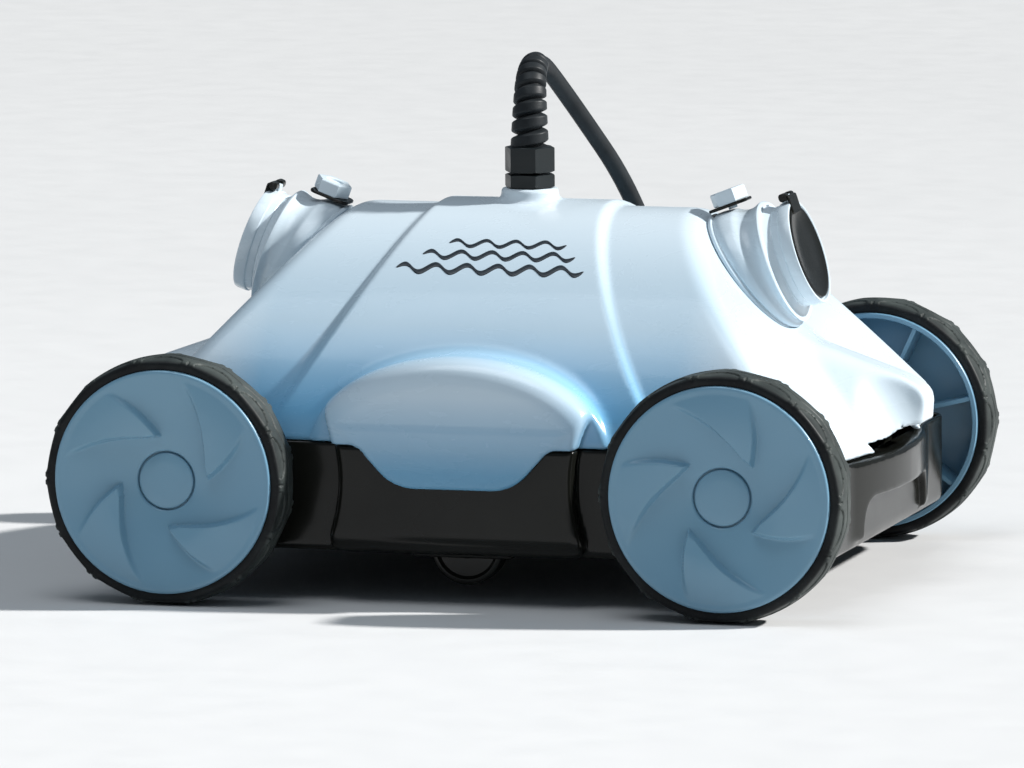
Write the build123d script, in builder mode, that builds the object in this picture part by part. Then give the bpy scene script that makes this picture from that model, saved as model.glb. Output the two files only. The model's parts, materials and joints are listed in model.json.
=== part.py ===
from build123d import *
import os
from math import cos, pi, radians, sin, tan

# Wheeled jet-drive pool cleaner: a moulded hood on a dark tray, four wheels, a jet nozzle at
# each end and a floating supply cable. X runs end to end, -Y is the front, +Z is up, and the
# origin is on the floor under the middle.

os.makedirs("parts", exist_ok=True)

# ---- driving dimensions, millimetres ---------------------------------------------------------
running_fit = 0.05            # radial clearance of a turning shaft
snug_fit = 0.03               # radial clearance of a fixed pin
wall = 3.0                    # moulded wall of hood, tray and motor housing

# wheels
wheel_r = 65.0
wheel_x = 149.3
wheel_inner_y = 149.0         # inner rim plane
wheel_outer_y = 179.0         # outer rim plane
rim_r = 58.5
axle_r = 6.0
rib_count = 7

# hood
crown_z = 198.0
rim_z = 84.0
side_half_y = 139.0           # half width at the rim
end_half_x = 199.4            # half length at the foot of the end skirts
skirt_z = 73.3                # foot of the end skirts, on the bumpers
skirt_sum = 274.2             # the skirts slope at 45 degrees: X + Z on their outer face
skirt_start_x = 184.0
bulge_y = 153.0               # front plane of the side bulge
bulge_half_x = 79.0
bulge_height = 46.0
wheel_arch_r = 86.0
brow_x = 219.0                # tip of the beak over each bumper
brow_half_y = 55.0            # half width of the beak's root
brow_tip_y = 18.0             # half width of its tip
brow_low_z = 86.0

# tray
tray_low_z = 26.0
tray_half_x = 195.0
floor_z = 30.0
pod_y = 149.5
bumper_x = 207.5
bumper_low_z = 30.0
bumper_top_z = 73.0
grip_half_y = 66.0            # half width of the hand space under the bumper
grip_top_z = 52.0

# bottom plate and intakes
plate_z = 24.5
plate_thick = 4.0
plate_half_x = 160.0
plate_half_y = 104.0
intake_x = 70.0
intake_half_w = 14.0
intake_half_y = 62.0
flap_pivot_x = 90.0
flap_pivot_z = 31.6

# jet nozzles: seat plane on the hood, outlet plane, and the neck between them
seat_x, seat_z, seat_tilt = 121.3, 160.8, 36.87
neck_x, neck_z, neck_tilt = 141.9, 170.2, 18.7
mouth_r = 28.5
mouth_length = 11.5
flange_r = 37.5
spigot_r = 31.43
socket_r = spigot_r + running_fit + 0.02
outlet_r = 24.0

# motor
motor_z = 150.0
motor_r = 34.0
motor_half_x = 56.0
shaft_r = 4.0
propeller_x = 81.0

# gland and cable
gland_flat = 24.0             # across the hexagon's flats
boss_top_z = 204.0
nut_z = 212.0
nut_top_z = 226.0
neck_top_z = 231.7
cable_r = 4.75

# skid rollers
roller_y = 120.0
roller_z = 28.5
roller_r = 19.6

ENDS = (("left", -1), ("right", 1))
SIDES = (("front", -1), ("back", 1))


def save(part, label):
    """Label a finished piece and write its STEP file."""
    part.label = label
    export_step(part, f"parts/{label}.step")


def tilted(x, z, tilt, end, advance=0.0):
    """Plane facing outwards at one end, its normal raised by tilt degrees."""
    rise, run = sin(radians(tilt)), cos(radians(tilt))
    origin = (end * (x + advance * run), 0, z + advance * rise)
    return Plane(origin=origin, x_dir=(0, end, 0), z_dir=(end * run, 0, rise))


def seat(end, advance=0.0):
    return tilted(seat_x, seat_z, seat_tilt, end, advance)


def neck(end, advance=0.0):
    return tilted(neck_x, neck_z, neck_tilt, end, advance)


def wheel_plane(x, side, height=0.0):
    """Plane facing outwards on a wheel's axis, at a distance |Y| = height from the middle."""
    return Plane(origin=(x, side * height, wheel_r), x_dir=(1, 0, 0), z_dir=(0, side, 0))


def wheel_section(x, side):
    """Plane through a wheel's axis: local x is the radius, local y the distance |Y|."""
    return Plane(origin=(x, 0, wheel_r), x_dir=(1, 0, 0), z_dir=(0, 0, side))


# ---- hood ------------------------------------------------------------------------------------
def hood_envelope(inset, low_z):
    """Crowned body: a curved side profile crossed with a sloping end profile."""
    seat_rise, seat_run = sin(radians(seat_tilt)), cos(radians(seat_tilt))
    facet_top = (seat_x - 40 * seat_rise, seat_z + 40 * seat_run)
    facet_low = (seat_x + 40 * seat_rise, seat_z - 40 * seat_run)
    with BuildPart() as form:
        with BuildSketch(Plane.YZ):
            with BuildLine():
                crown = ThreePointArc((0, crown_z), (29, crown_z - 3.8), (56, 183))
                flank = ThreePointArc(crown @ 1, (101, 149), (side_half_y, rim_z))
                Polyline(flank @ 1, (side_half_y, low_z), (0, low_z))
                mirror(about=Plane.YZ)
            make_face()
            offset(amount=-inset)
        extrude(amount=260, both=True)
        with BuildSketch(Plane.XZ):
            with BuildLine():
                Polyline(
                    (0, crown_z + 1), (91, crown_z + 1), facet_top, facet_low, (176, skirt_sum - 176),
                    (end_half_x, skirt_sum - end_half_x), (end_half_x, low_z), (0, low_z),
                )
                mirror(about=Plane.YZ)
            make_face()
            offset(amount=-inset, kind=Kind.INTERSECTION)
        extrude(amount=260, both=True, mode=Mode.INTERSECT)
    return form.part


def side_bulge(inset, side):
    """Half-elliptic dome over the tray's side pod."""
    with BuildPart() as dome:
        with BuildSketch(Plane(origin=(0, side * 100, rim_z), x_dir=(1, 0, 0), z_dir=(0, side, 0))):
            Ellipse(bulge_half_x - inset, bulge_height - inset)
        extrude(amount=bulge_y - 100 - inset)
        fillet(dome.faces().sort_by(Axis.Y)[-1 if side > 0 else 0].edges(), radius=15 - inset)
    return dome.part


def end_brow(inset):
    """Beak over each bumper: wide at the root, blunt at the tip."""
    with BuildPart() as brow:
        with BuildSketch(Plane.XZ):
            with BuildLine():
                Polyline(
                    (150, rim_z - 20), (brow_x, rim_z - 20), (brow_x, brow_low_z), (217.6, 90.5),
                    (215.4, 96.5), (212, 101.7), (206.5, 108.5), (199.5, 110.5), (187, 117),
                    (150, 134), close=True,
                )
            make_face()
            offset(amount=-inset, kind=Kind.INTERSECTION)
        extrude(amount=80, both=True)
        with BuildSketch(Plane.XY):
            with BuildLine():
                Polyline(
                    (150, -80), (190, -brow_half_y), (brow_x + 1, -brow_tip_y), (brow_x + 1, brow_tip_y),
                    (190, brow_half_y), (150, 80), close=True,
                )
            make_face()
            offset(amount=-inset, kind=Kind.INTERSECTION)
        extrude(amount=200, mode=Mode.INTERSECT)
        mirror(about=Plane.YZ)
    return brow.part


def lock_tongue(end):
    """Thin dark strap rising out of the crown over the nozzle, which carries the lock knob."""
    strap = Plane(origin=(end * 109.7, 0, 199.9), x_dir=(0, end, 0),
                  z_dir=(-end * sin(radians(20.6)), 0, cos(radians(20.6))))
    with BuildPart() as tongue:
        with BuildSketch(strap):
            with Locations((0, -1)):
                RectangleRounded(17, 22, 4)
        extrude(amount=-1.7)
        with BuildSketch(strap):
            Circle(2.5 + running_fit)
        extrude(amount=-1.7, mode=Mode.SUBTRACT)
    return tongue.part, strap


tongues = {name: lock_tongue(end) for name, end in ENDS}

# bosses for the screws from the tray, trimmed just inside the hood's skin
with BuildPart() as screw_bosses:
    with BuildSketch(Plane.XY.offset(rim_z)):
        with GridLocations(300, 216, 2, 2):
            Circle(5.5)
    extrude(amount=90)
    add(hood_envelope(1.0, rim_z - 20), mode=Mode.INTERSECT)

with BuildPart() as hood:
    add(hood_envelope(0.0, rim_z - 20))
    for _, side in SIDES:
        add(side_bulge(0.0, side))
    add(end_brow(0.0))
    # gland boss on the crown
    with BuildSketch(Plane.XY.offset(crown_z - 4)):
        Circle(17)
    with BuildSketch(Plane.XY.offset(boss_top_z)):
        Circle(15)
    loft()
    # everything below the rim is cut away, except for the skirts at the ends
    with BuildSketch(Plane.XY.offset(rim_z - 30)):
        Rectangle(2 * skirt_start_x, 400)
    extrude(amount=30, mode=Mode.SUBTRACT)
    split(bisect_by=Plane.XY.offset(skirt_z), keep=Keep.TOP)
    for cut_half_y, cut_z in ((58, 80), (24, brow_low_z)):
        for _, end in ENDS:
            with BuildSketch(Plane.XY.offset(50)):
                with Locations((end * (skirt_start_x + 30), 0)):
                    Rectangle(60, 2 * cut_half_y)
            extrude(amount=cut_z - 50, mode=Mode.SUBTRACT)
    # wheel arches bite into the ends of the side bulges
    for side_name, side in SIDES:
        for _, end in ENDS:
            with BuildSketch(wheel_plane(end * wheel_x, side, 142)):
                Circle(wheel_arch_r)
            extrude(amount=20, mode=Mode.SUBTRACT)
    # hollow inside
    add(hood_envelope(wall, rim_z - 20), mode=Mode.SUBTRACT)
    for _, side in SIDES:
        add(side_bulge(wall, side), mode=Mode.SUBTRACT)
    add(end_brow(wall), mode=Mode.SUBTRACT)
    # tabs that overlap the tray
    for _, side in SIDES:
        tab_plane = Plane(origin=(0, side * (pod_y + 0.2), 0), x_dir=(1, 0, 0), z_dir=(0, side, 0))
        with BuildSketch(tab_plane):
            with BuildLine():
                half_tab = [(0, rim_z + 6), (52, rim_z + 6), (52, rim_z), (32, 62), (0, 62)]
                if side < 0:
                    Polyline(*half_tab)
                    mirror(about=Plane.YZ)
                else:
                    Polyline(*[(x, -z) for x, z in half_tab])
                    mirror(about=Plane.YZ)
            make_face()
        extrude(amount=bulge_y - pod_y - 0.2)
    # nozzle sockets
    for _, end in ENDS:
        with BuildSketch(seat(end)):
            Circle(socket_r + 3.5)
        extrude(amount=-14)
        with BuildSketch(seat(end, 5)):
            Circle(socket_r)
        extrude(amount=-60, mode=Mode.SUBTRACT)
    # posts for the motor cradle, and bosses for the screws into the tray
    with BuildSketch(Plane.XY.offset(191)):
        with GridLocations(70, 24, 2, 2):
            Circle(4)
    extrude(amount=6)
    add(screw_bosses.part)
    with BuildSketch(Plane.XY.offset(rim_z)):
        with GridLocations(300, 216, 2, 2):
            Circle(2 + snug_fit)
    extrude(amount=20, mode=Mode.SUBTRACT)
    # gland hole through the boss
    with BuildSketch(Plane.XY.offset(180)):
        Circle(10 + snug_fit)
    extrude(amount=40, mode=Mode.SUBTRACT)
    for tongue, _ in tongues.values():
        add(tongue, mode=Mode.SUBTRACT)
save(hood.part, "hood")

with BuildPart() as lock_tongues:
    for tongue, _ in tongues.values():
        add(tongue)
save(lock_tongues.part, "lock_tongues")

# ---- tray ------------------------------------------------------------------------------------
def pod_outline(inset):
    """Side wall between the wheel arches, as seen from the side."""
    with BuildSketch() as outline:
        with Locations((0, (tray_low_z + rim_z) / 2)):
            Rectangle(2 * (90 - inset), rim_z - tray_low_z)
        with Locations((-wheel_x, wheel_r), (wheel_x, wheel_r)):
            Circle(wheel_arch_r + inset, mode=Mode.SUBTRACT)
    return outline.sketch


def bumper_outline(inset):
    """Bumper in plan: straight in the middle, with sides that fall back into the tray."""
    with BuildSketch() as outline:
        with BuildLine():
            nose = Line((bumper_x, -30), (bumper_x, 30))
            bend = ThreePointArc(nose @ 1, (206.6, 42), (204.3, 52))
            Polyline(bend @ 1, (193, 92), (tray_half_x - 4, 92), (tray_half_x - 4, -92), (193, -92), (204.3, -52))
            ThreePointArc((204.3, -52), (206.6, -42), nose @ 0)
        make_face()
        if inset:
            offset(amount=-inset, kind=Kind.INTERSECTION)
    return outline.sketch


with BuildPart() as chassis:
    with BuildSketch(Plane.XY.offset(tray_low_z)):
        RectangleRounded(2 * tray_half_x, 2 * side_half_y, 18)
    extrude(amount=rim_z - tray_low_z)
    for _, end in ENDS:
        frame_plane = Plane(origin=(0, 0, bumper_low_z), x_dir=(end, 0, 0), z_dir=(0, 0, 1))
        with BuildSketch(frame_plane):
            add(bumper_outline(0.0))
        extrude(amount=bumper_top_z - bumper_low_z)
        with BuildSketch(frame_plane):
            add(bumper_outline(wall))
            with Locations((tray_half_x / 2, 0)):
                Rectangle(tray_half_x, 300, mode=Mode.SUBTRACT)
        extrude(amount=bumper_top_z - bumper_low_z - wall, mode=Mode.SUBTRACT)
        with BuildSketch(frame_plane):
            with Locations((tray_half_x + 20, 0)):
                Rectangle(40, 2 * grip_half_y)
        extrude(amount=grip_top_z - bumper_low_z, mode=Mode.SUBTRACT)
        # the tray's ends stop under the hood's skirts
        with BuildSketch(Plane.XY.offset(bumper_top_z)):
            with Locations((end * (skirt_start_x + 30), 0)):
                Rectangle(60, 300)
        extrude(amount=20, mode=Mode.SUBTRACT)
    for _, side in SIDES:
        pod_plane = Plane(origin=(0, side * 137, 0), x_dir=(-side, 0, 0), z_dir=(0, side, 0))
        with BuildSketch(pod_plane):
            add(pod_outline(0.0))
        extrude(amount=pod_y - 137)
    # hollow: above the floor, and the shallow recess below it
    with BuildSketch(Plane.XY.offset(floor_z + wall)):
        RectangleRounded(2 * (tray_half_x - wall), 2 * (side_half_y - wall), 15)
    extrude(amount=80, mode=Mode.SUBTRACT)
    with BuildSketch(Plane.XY.offset(tray_low_z)):
        RectangleRounded(2 * (tray_half_x - wall), 2 * (side_half_y - wall), 15)
    extrude(amount=floor_z - tray_low_z, mode=Mode.SUBTRACT)
    for _, side in SIDES:
        pod_plane = Plane(origin=(0, side * 135, floor_z + wall), x_dir=(-side, 0, 0), z_dir=(0, side, 0))
        with BuildSketch(pod_plane):
            add(pod_outline(wall))
        extrude(amount=pod_y - wall - 135, mode=Mode.SUBTRACT)
    with BuildSketch(Plane.XY.offset(floor_z)):
        RectangleRounded(300, 190, 8)
    extrude(amount=wall, mode=Mode.SUBTRACT)
    # dams behind the gaps between the bumpers and the hood's raised edges
    for _, end in ENDS:
        with BuildSketch(Plane.XY.offset(floor_z)):
            with Locations((end * (skirt_start_x - 0.5), 0)):
                Rectangle(3, 124)
        extrude(amount=82 - floor_z)
    # wheel bosses on both faces of the side wall
    for _, side in SIDES:
        for _, end in ENDS:
            with BuildSketch(wheel_plane(end * wheel_x, side, 126)):
                Circle(12)
            extrude(amount=20)
            with BuildSketch(wheel_plane(end * wheel_x, side, 120)):
                Circle(axle_r + snug_fit)
            extrude(amount=40, mode=Mode.SUBTRACT)
    # roller housings
    for _, side in SIDES:
        with BuildSketch(Plane.XY.offset(24)):
            with Locations((0, side * roller_y)):
                Rectangle(54, 28)
        extrude(amount=32)
        with BuildSketch(Plane.XY.offset(20)):
            with Locations((0, side * roller_y)):
                Rectangle(44, 13.4)
        extrude(amount=31, mode=Mode.SUBTRACT)
        pin_plane = Plane(origin=(0, side * 100, roller_z), x_dir=(1, 0, 0), z_dir=(0, side, 0))
        with BuildSketch(pin_plane):
            Circle(3 + snug_fit)
        extrude(amount=32, mode=Mode.SUBTRACT)
    # screw towers for the hood, latch bosses under the floor
    with BuildSketch(Plane.XY.offset(floor_z)):
        with GridLocations(300, 216, 2, 2):
            Circle(8)
    extrude(amount=rim_z - floor_z)
    with BuildSketch(Plane.XY.offset(floor_z)):
        with GridLocations(300, 216, 2, 2):
            Circle(5.5)
    extrude(amount=40, mode=Mode.SUBTRACT)
    with BuildSketch(Plane.XY.offset(floor_z)):
        with GridLocations(300, 216, 2, 2):
            Circle(2 + snug_fit)
    extrude(amount=60, mode=Mode.SUBTRACT)
    with BuildSketch(Plane.XY.offset(24.5)):
        with GridLocations(346, 10, 2, 1):
            Circle(7)
    extrude(amount=floor_z + wall - 24.5)
    with BuildSketch(Plane.XY.offset(24.5)):
        with GridLocations(346, 10, 2, 1):
            Circle(3 + running_fit)
    extrude(amount=5, mode=Mode.SUBTRACT)
save(chassis.part, "chassis")

# ---- bottom plate, gasket, intake flaps and latches ------------------------------------------
plate_top_z = plate_z + plate_thick
with BuildPart() as bottom_plate:
    with BuildSketch(Plane.XY.offset(plate_z)):
        RectangleRounded(2 * plate_half_x, 2 * plate_half_y, 8)
    extrude(amount=plate_thick)
    for _, end in ENDS:
        with BuildSketch(Plane.XY.offset(18)):
            with Locations((end * intake_x, 0)):
                Rectangle(2 * intake_half_w + 5, 2 * intake_half_y + 5)
        extrude(amount=plate_z - 18)
        with BuildSketch(Plane.XY.offset(10)):
            with Locations((end * intake_x, 0)):
                Rectangle(2 * intake_half_w, 2 * intake_half_y)
        extrude(amount=30, mode=Mode.SUBTRACT)
        for _, side in SIDES:
            with BuildSketch(Plane.XY.offset(plate_top_z)):
                with Locations((end * flap_pivot_x, side * 72.5)):
                    Rectangle(7, 3)
            extrude(amount=flap_pivot_z + 3 - plate_top_z)
    for _, end in ENDS:
        pin_plane = Plane(origin=(end * flap_pivot_x, 0, flap_pivot_z), x_dir=(1, 0, 0), z_dir=(0, -1, 0))
        with BuildSketch(pin_plane):
            Circle(1.2 + running_fit)
        extrude(amount=80, both=True, mode=Mode.SUBTRACT)
save(bottom_plate.part, "bottom_plate")

with BuildPart() as gasket:
    with BuildSketch(Plane.XY.offset(plate_top_z)):
        RectangleRounded(316, 204, 7)
        RectangleRounded(302, 192, 5, mode=Mode.SUBTRACT)
    extrude(amount=floor_z - plate_top_z)
save(gasket.part, "bottom_gasket")

for name, end in ENDS:
    with BuildPart() as intake_flap:
        with BuildSketch(Plane.XY.offset(plate_top_z + 0.3)):
            with Locations((end * 70.5, 0)):
                Rectangle(37, 140)
        extrude(amount=1.8)
        flap_axis = Plane(origin=(end * flap_pivot_x, 0, flap_pivot_z), x_dir=(1, 0, 0), z_dir=(0, -1, 0))
        with BuildSketch(flap_axis):
            Circle(2.4)
            with Locations((-end * 2.2, -0.6)):
                Rectangle(3.4, 3)
        extrude(amount=70, both=True)
        with BuildSketch(flap_axis):
            Circle(1.2)
        extrude(amount=73.8, both=True)
    save(intake_flap.part, f"intake_flap_{name}")

for name, end in ENDS:
    with BuildPart() as latch:
        with BuildSketch(Plane.XY.offset(21)):
            with Locations((end * 168, 0)):
                SlotOverall(32, 12)
        extrude(amount=3.2)
        with BuildSketch(Plane.XY.offset(24)):
            with Locations((end * 173, 0)):
                Circle(3)
        extrude(amount=5)
    save(latch.part, f"latch_{name}")

# ---- filter ----------------------------------------------------------------------------------
with BuildPart() as filter_frame:
    with BuildSketch(Plane.XY.offset(plate_top_z)):
        RectangleRounded(283, 177, 8)
        RectangleRounded(275, 169, 5, mode=Mode.SUBTRACT)
    extrude(amount=4)
    for x in (-112, 112):
        with BuildSketch(Plane(origin=(x, 0, 0), x_dir=(0, 1, 0), z_dir=(1, 0, 0))):
            with Locations((0, (plate_top_z + 106) / 2)):
                Rectangle(176, 106 - plate_top_z)
                Rectangle(169, 99 - plate_top_z, mode=Mode.SUBTRACT)
            with Locations((0, plate_top_z)):
                Rectangle(169, 20, mode=Mode.SUBTRACT)
        extrude(amount=2, both=True)
save(filter_frame.part, "filter_frame")

with BuildPart() as filter_bag:
    with BuildSketch(Plane.XY.offset(plate_top_z + 0.2)):
        RectangleRounded(286.6, 180.6, 10)
    extrude(amount=79.3)
    with BuildSketch(Plane.XY.offset(plate_top_z + 0.2)):
        RectangleRounded(284, 178, 8.7)
    extrude(amount=78, mode=Mode.SUBTRACT)
save(filter_bag.part, "filter_bag")

# ---- motor and propellers --------------------------------------------------------------------
axis_plane = Plane(origin=(0, 0, motor_z), x_dir=(0, 1, 0), z_dir=(1, 0, 0))

with BuildPart() as motor_housing:
    with BuildSketch(axis_plane):
        Circle(motor_r)
        Circle(motor_r - wall, mode=Mode.SUBTRACT)
    extrude(amount=motor_half_x, both=True)
    with BuildSketch(Plane.XY.offset(motor_z)):
        Circle(cable_r + 0.02)
    extrude(amount=60, mode=Mode.SUBTRACT)
save(motor_housing.part, "motor_housing")

for name, end in ENDS:
    cap_plane = Plane(origin=(end * motor_half_x, 0, motor_z), x_dir=(0, 1, 0), z_dir=(end, 0, 0))
    with BuildPart() as motor_cap:
        with BuildSketch(cap_plane):
            Circle(motor_r)
        extrude(amount=8)
        with BuildSketch(cap_plane):
            Circle(motor_r - wall - 0.05)
        extrude(amount=-6)
        with BuildSketch(cap_plane.offset(-10)):
            Circle(shaft_r + running_fit)
        extrude(amount=30, mode=Mode.SUBTRACT)
        with BuildSketch(cap_plane.offset(3)):
            Circle(8.05)
        extrude(amount=6, mode=Mode.SUBTRACT)
    save(motor_cap.part, f"motor_cap_{name}")

with BuildPart() as shaft_seals:
    for _, end in ENDS:
        with BuildSketch(Plane(origin=(end * (motor_half_x + 3), 0, motor_z), x_dir=(0, 1, 0),
                               z_dir=(end, 0, 0))):
            Circle(8)
            Circle(shaft_r + running_fit, mode=Mode.SUBTRACT)
        extrude(amount=5)
save(shaft_seals.part, "shaft_seals")

with BuildPart() as motor_can:
    with BuildSketch(axis_plane):
        Circle(23)
        Circle(shaft_r + running_fit, mode=Mode.SUBTRACT)
    extrude(amount=44, both=True)
save(motor_can.part, "motor_can")

with BuildPart() as control_board:
    with BuildSketch(Plane.XY.offset(motor_z + 25)):
        Rectangle(60, 30)
    extrude(amount=1.6)
    with BuildSketch(Plane.XY.offset(motor_z + 26.6)):
        with Locations((-20, 0), (20, 0)):
            Rectangle(12, 12)
    extrude(amount=2)
save(control_board.part, "control_board")

with BuildPart() as motor_shaft:
    with BuildSketch(axis_plane):
        Circle(shaft_r)
    extrude(amount=94, both=True)
    chamfer(motor_shaft.edges(), 0.5)
save(motor_shaft.part, "motor_shaft")

for name, end in ENDS:
    hub_plane = Plane(origin=(end * (propeller_x - 8), 0, motor_z), x_dir=(0, 1, 0), z_dir=(end, 0, 0))
    with BuildPart() as propeller:
        with BuildSketch(hub_plane):
            Circle(9)
        extrude(amount=16)
        for blade in range(3):
            turn = radians(blade * 120)
            span = (0, sin(turn), cos(turn))
            chord = (0.7, -0.7 * cos(turn), 0.7 * sin(turn))
            blade_plane = Plane(origin=(end * propeller_x, 8 * span[1], motor_z + 8 * span[2]),
                                x_dir=chord, z_dir=span)
            with BuildSketch(blade_plane):
                RectangleRounded(17, 2, 0.9)
            extrude(amount=17.5)
        with BuildSketch(hub_plane):
            Circle(shaft_r)
        extrude(amount=16, mode=Mode.SUBTRACT)
    save(propeller.part, f"propeller_{name}")

for name, end in ENDS:
    tube_plane = Plane(origin=(end * 70, 0, motor_z), x_dir=(0, 1, 0), z_dir=(end, 0, 0))
    with BuildPart() as jet_duct:
        with BuildSketch(tube_plane):
            Circle(30.5)
            Circle(28, mode=Mode.SUBTRACT)
        extrude(amount=80)
        split(bisect_by=seat(end, -14), keep=Keep.BOTTOM)
    save(jet_duct.part, f"jet_duct_{name}")

with BuildPart() as motor_cradle:
    with BuildSketch(Plane.XY.offset(188)):
        Rectangle(80, 34)
        Circle(12, mode=Mode.SUBTRACT)
    extrude(amount=3)
    for x in (-34, 34):
        with BuildSketch(Plane(origin=(x, 0, motor_z), x_dir=(0, 1, 0), z_dir=(1, 0, 0))):
            Circle(motor_r + 3)
            with Locations((0, 36)):
                Rectangle(16, 10)
            Circle(motor_r, mode=Mode.SUBTRACT)
        extrude(amount=5, both=True)
save(motor_cradle.part, "motor_cradle")

with BuildPart() as floats:
    with BuildSketch(Plane.XY.offset(118)):
        with GridLocations(10, 126, 1, 2):
            RectangleRounded(130, 32, 6)
    extrude(amount=32)
    fillet(floats.edges().group_by(Axis.Z)[-1], radius=5)
save(floats.part, "float_blocks")

# ---- jet nozzles, outlet flaps and lock knobs ------------------------------------------------
hinge_out, hinge_up = mouth_length - 3.0, 31.0   # hinge from the neck plane, along and above


def seat_section(end):
    """Plane through the swivel axis: local x is the radius, local y runs outwards."""
    rise, run = sin(radians(seat_tilt)), cos(radians(seat_tilt))
    return Plane(origin=(end * seat_x, 0, seat_z), x_dir=(0, 1, 0), z_dir=(rise, 0, -end * run))


def swivel_axis(end):
    return Axis((end * seat_x, 0, seat_z), seat(end).z_dir)


def hinge_plane(end):
    """Plane across Y, centred on an outlet flap's hinge: local x runs outwards, local y up."""
    centre = neck(end).from_local_coords((0, hinge_up, hinge_out))
    return Plane(origin=centre, x_dir=neck(end).z_dir, z_dir=(0, -end, 0))


for name, end in ENDS:
    with BuildPart() as nozzle:
        with BuildSketch(seat_section(end)):
            with BuildLine():
                Polyline((27, -8), (spigot_r, -8), (spigot_r, 0.4), (flange_r, 0.4), (flange_r, 4),
                         (27, 4), close=True)
            make_face()
        revolve(axis=swivel_axis(end))
        with BuildSketch(seat(end, 4)):
            Circle(flange_r - 1)
        with BuildSketch(neck(end, -1)):
            Circle(mouth_r + 1.5)
        loft()
        with BuildSketch(neck(end, -1)):
            Circle(mouth_r + 3)
        extrude(amount=3)
        with BuildSketch(neck(end)):
            Circle(mouth_r)
        extrude(amount=mouth_length)
        # hinge ears above the mouth
        with BuildSketch(neck(end)):
            with Locations((-7.6, 29.5), (7.6, 29.5)):
                Rectangle(2.4, 9)
        extrude(amount=mouth_length - 0.6)
        # passage
        with BuildSketch(seat(end, 3.9)):
            Circle(27.5)
        with BuildSketch(neck(end)):
            Circle(outlet_r)
        loft(mode=Mode.SUBTRACT)
        with BuildSketch(neck(end)):
            Circle(outlet_r)
        extrude(amount=20, mode=Mode.SUBTRACT)
        with BuildSketch(neck(end, mouth_length - 2)):
            Circle(26.6)
        extrude(amount=4, mode=Mode.SUBTRACT)
        # notch for the flap's arm, between the ears and below them
        with BuildSketch(neck(end, mouth_length - 7.5)):
            with Locations((0, 30.4)):
                Rectangle(12.8, 12)
        extrude(amount=10, mode=Mode.SUBTRACT)
        with BuildSketch(neck(end, mouth_length - 3)):
            with Locations((0, 25)):
                Rectangle(18, 4.4)
        extrude(amount=6, mode=Mode.SUBTRACT)
        with BuildSketch(hinge_plane(end)):
            Circle(1.2 + running_fit)
        extrude(amount=12, both=True, mode=Mode.SUBTRACT)
        # groove for the seal
        with BuildSketch(seat_section(end)):
            with Locations((31, -5)):
                Rectangle(2.4, 2.4)
        revolve(axis=swivel_axis(end), mode=Mode.SUBTRACT)
    save(nozzle.part, f"nozzle_{name}")

    with BuildPart() as nozzle_seal:
        with BuildSketch(seat_section(end)):
            with Locations((30.65, -5)):
                RectangleRounded(1.6, 2.2, 0.7)
        revolve(axis=swivel_axis(end))
    save(nozzle_seal.part, f"nozzle_seal_{name}")

    with BuildPart() as outlet_flap:
        with BuildSketch(neck(end, mouth_length - 1.7)):
            Circle(25.6)
        extrude(amount=1.6)
        with BuildSketch(neck(end, mouth_length - 1.7)):
            with Locations((0, 27)):
                Rectangle(11, 8)
        extrude(amount=1.6)
        with BuildSketch(hinge_plane(end)):
            with Locations((1.2, 0)):
                Rectangle(3.6, 4.4)
            Circle(2.2)
        extrude(amount=5.5, both=True)
        with BuildSketch(hinge_plane(end)):
            Circle(1.2)
        extrude(amount=8.6, both=True)
    save(outlet_flap.part, f"outlet_flap_{name}")

    knob_plane = tongues[name][1]
    with BuildPart() as lock_knob:
        with BuildSketch(knob_plane.offset(0.1)):
            RegularPolygon(8.6, 6, major_radius=False)
        extrude(amount=7.4)
        chamfer(lock_knob.faces().sort_by(Axis.Z)[-1].edges(), 0.6)
        with BuildSketch(knob_plane.offset(0.1)):
            Circle(2.5)
        extrude(amount=-3.2)
    save(lock_knob.part, f"lock_knob_{name}")

# ---- wheels ----------------------------------------------------------------------------------
dish_y, cap_r = 170.5, 15.0
wheels = [(f"{side_name}_{end_name}", end * wheel_x, side) for side_name, side in SIDES
          for end_name, end in ENDS]

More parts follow.
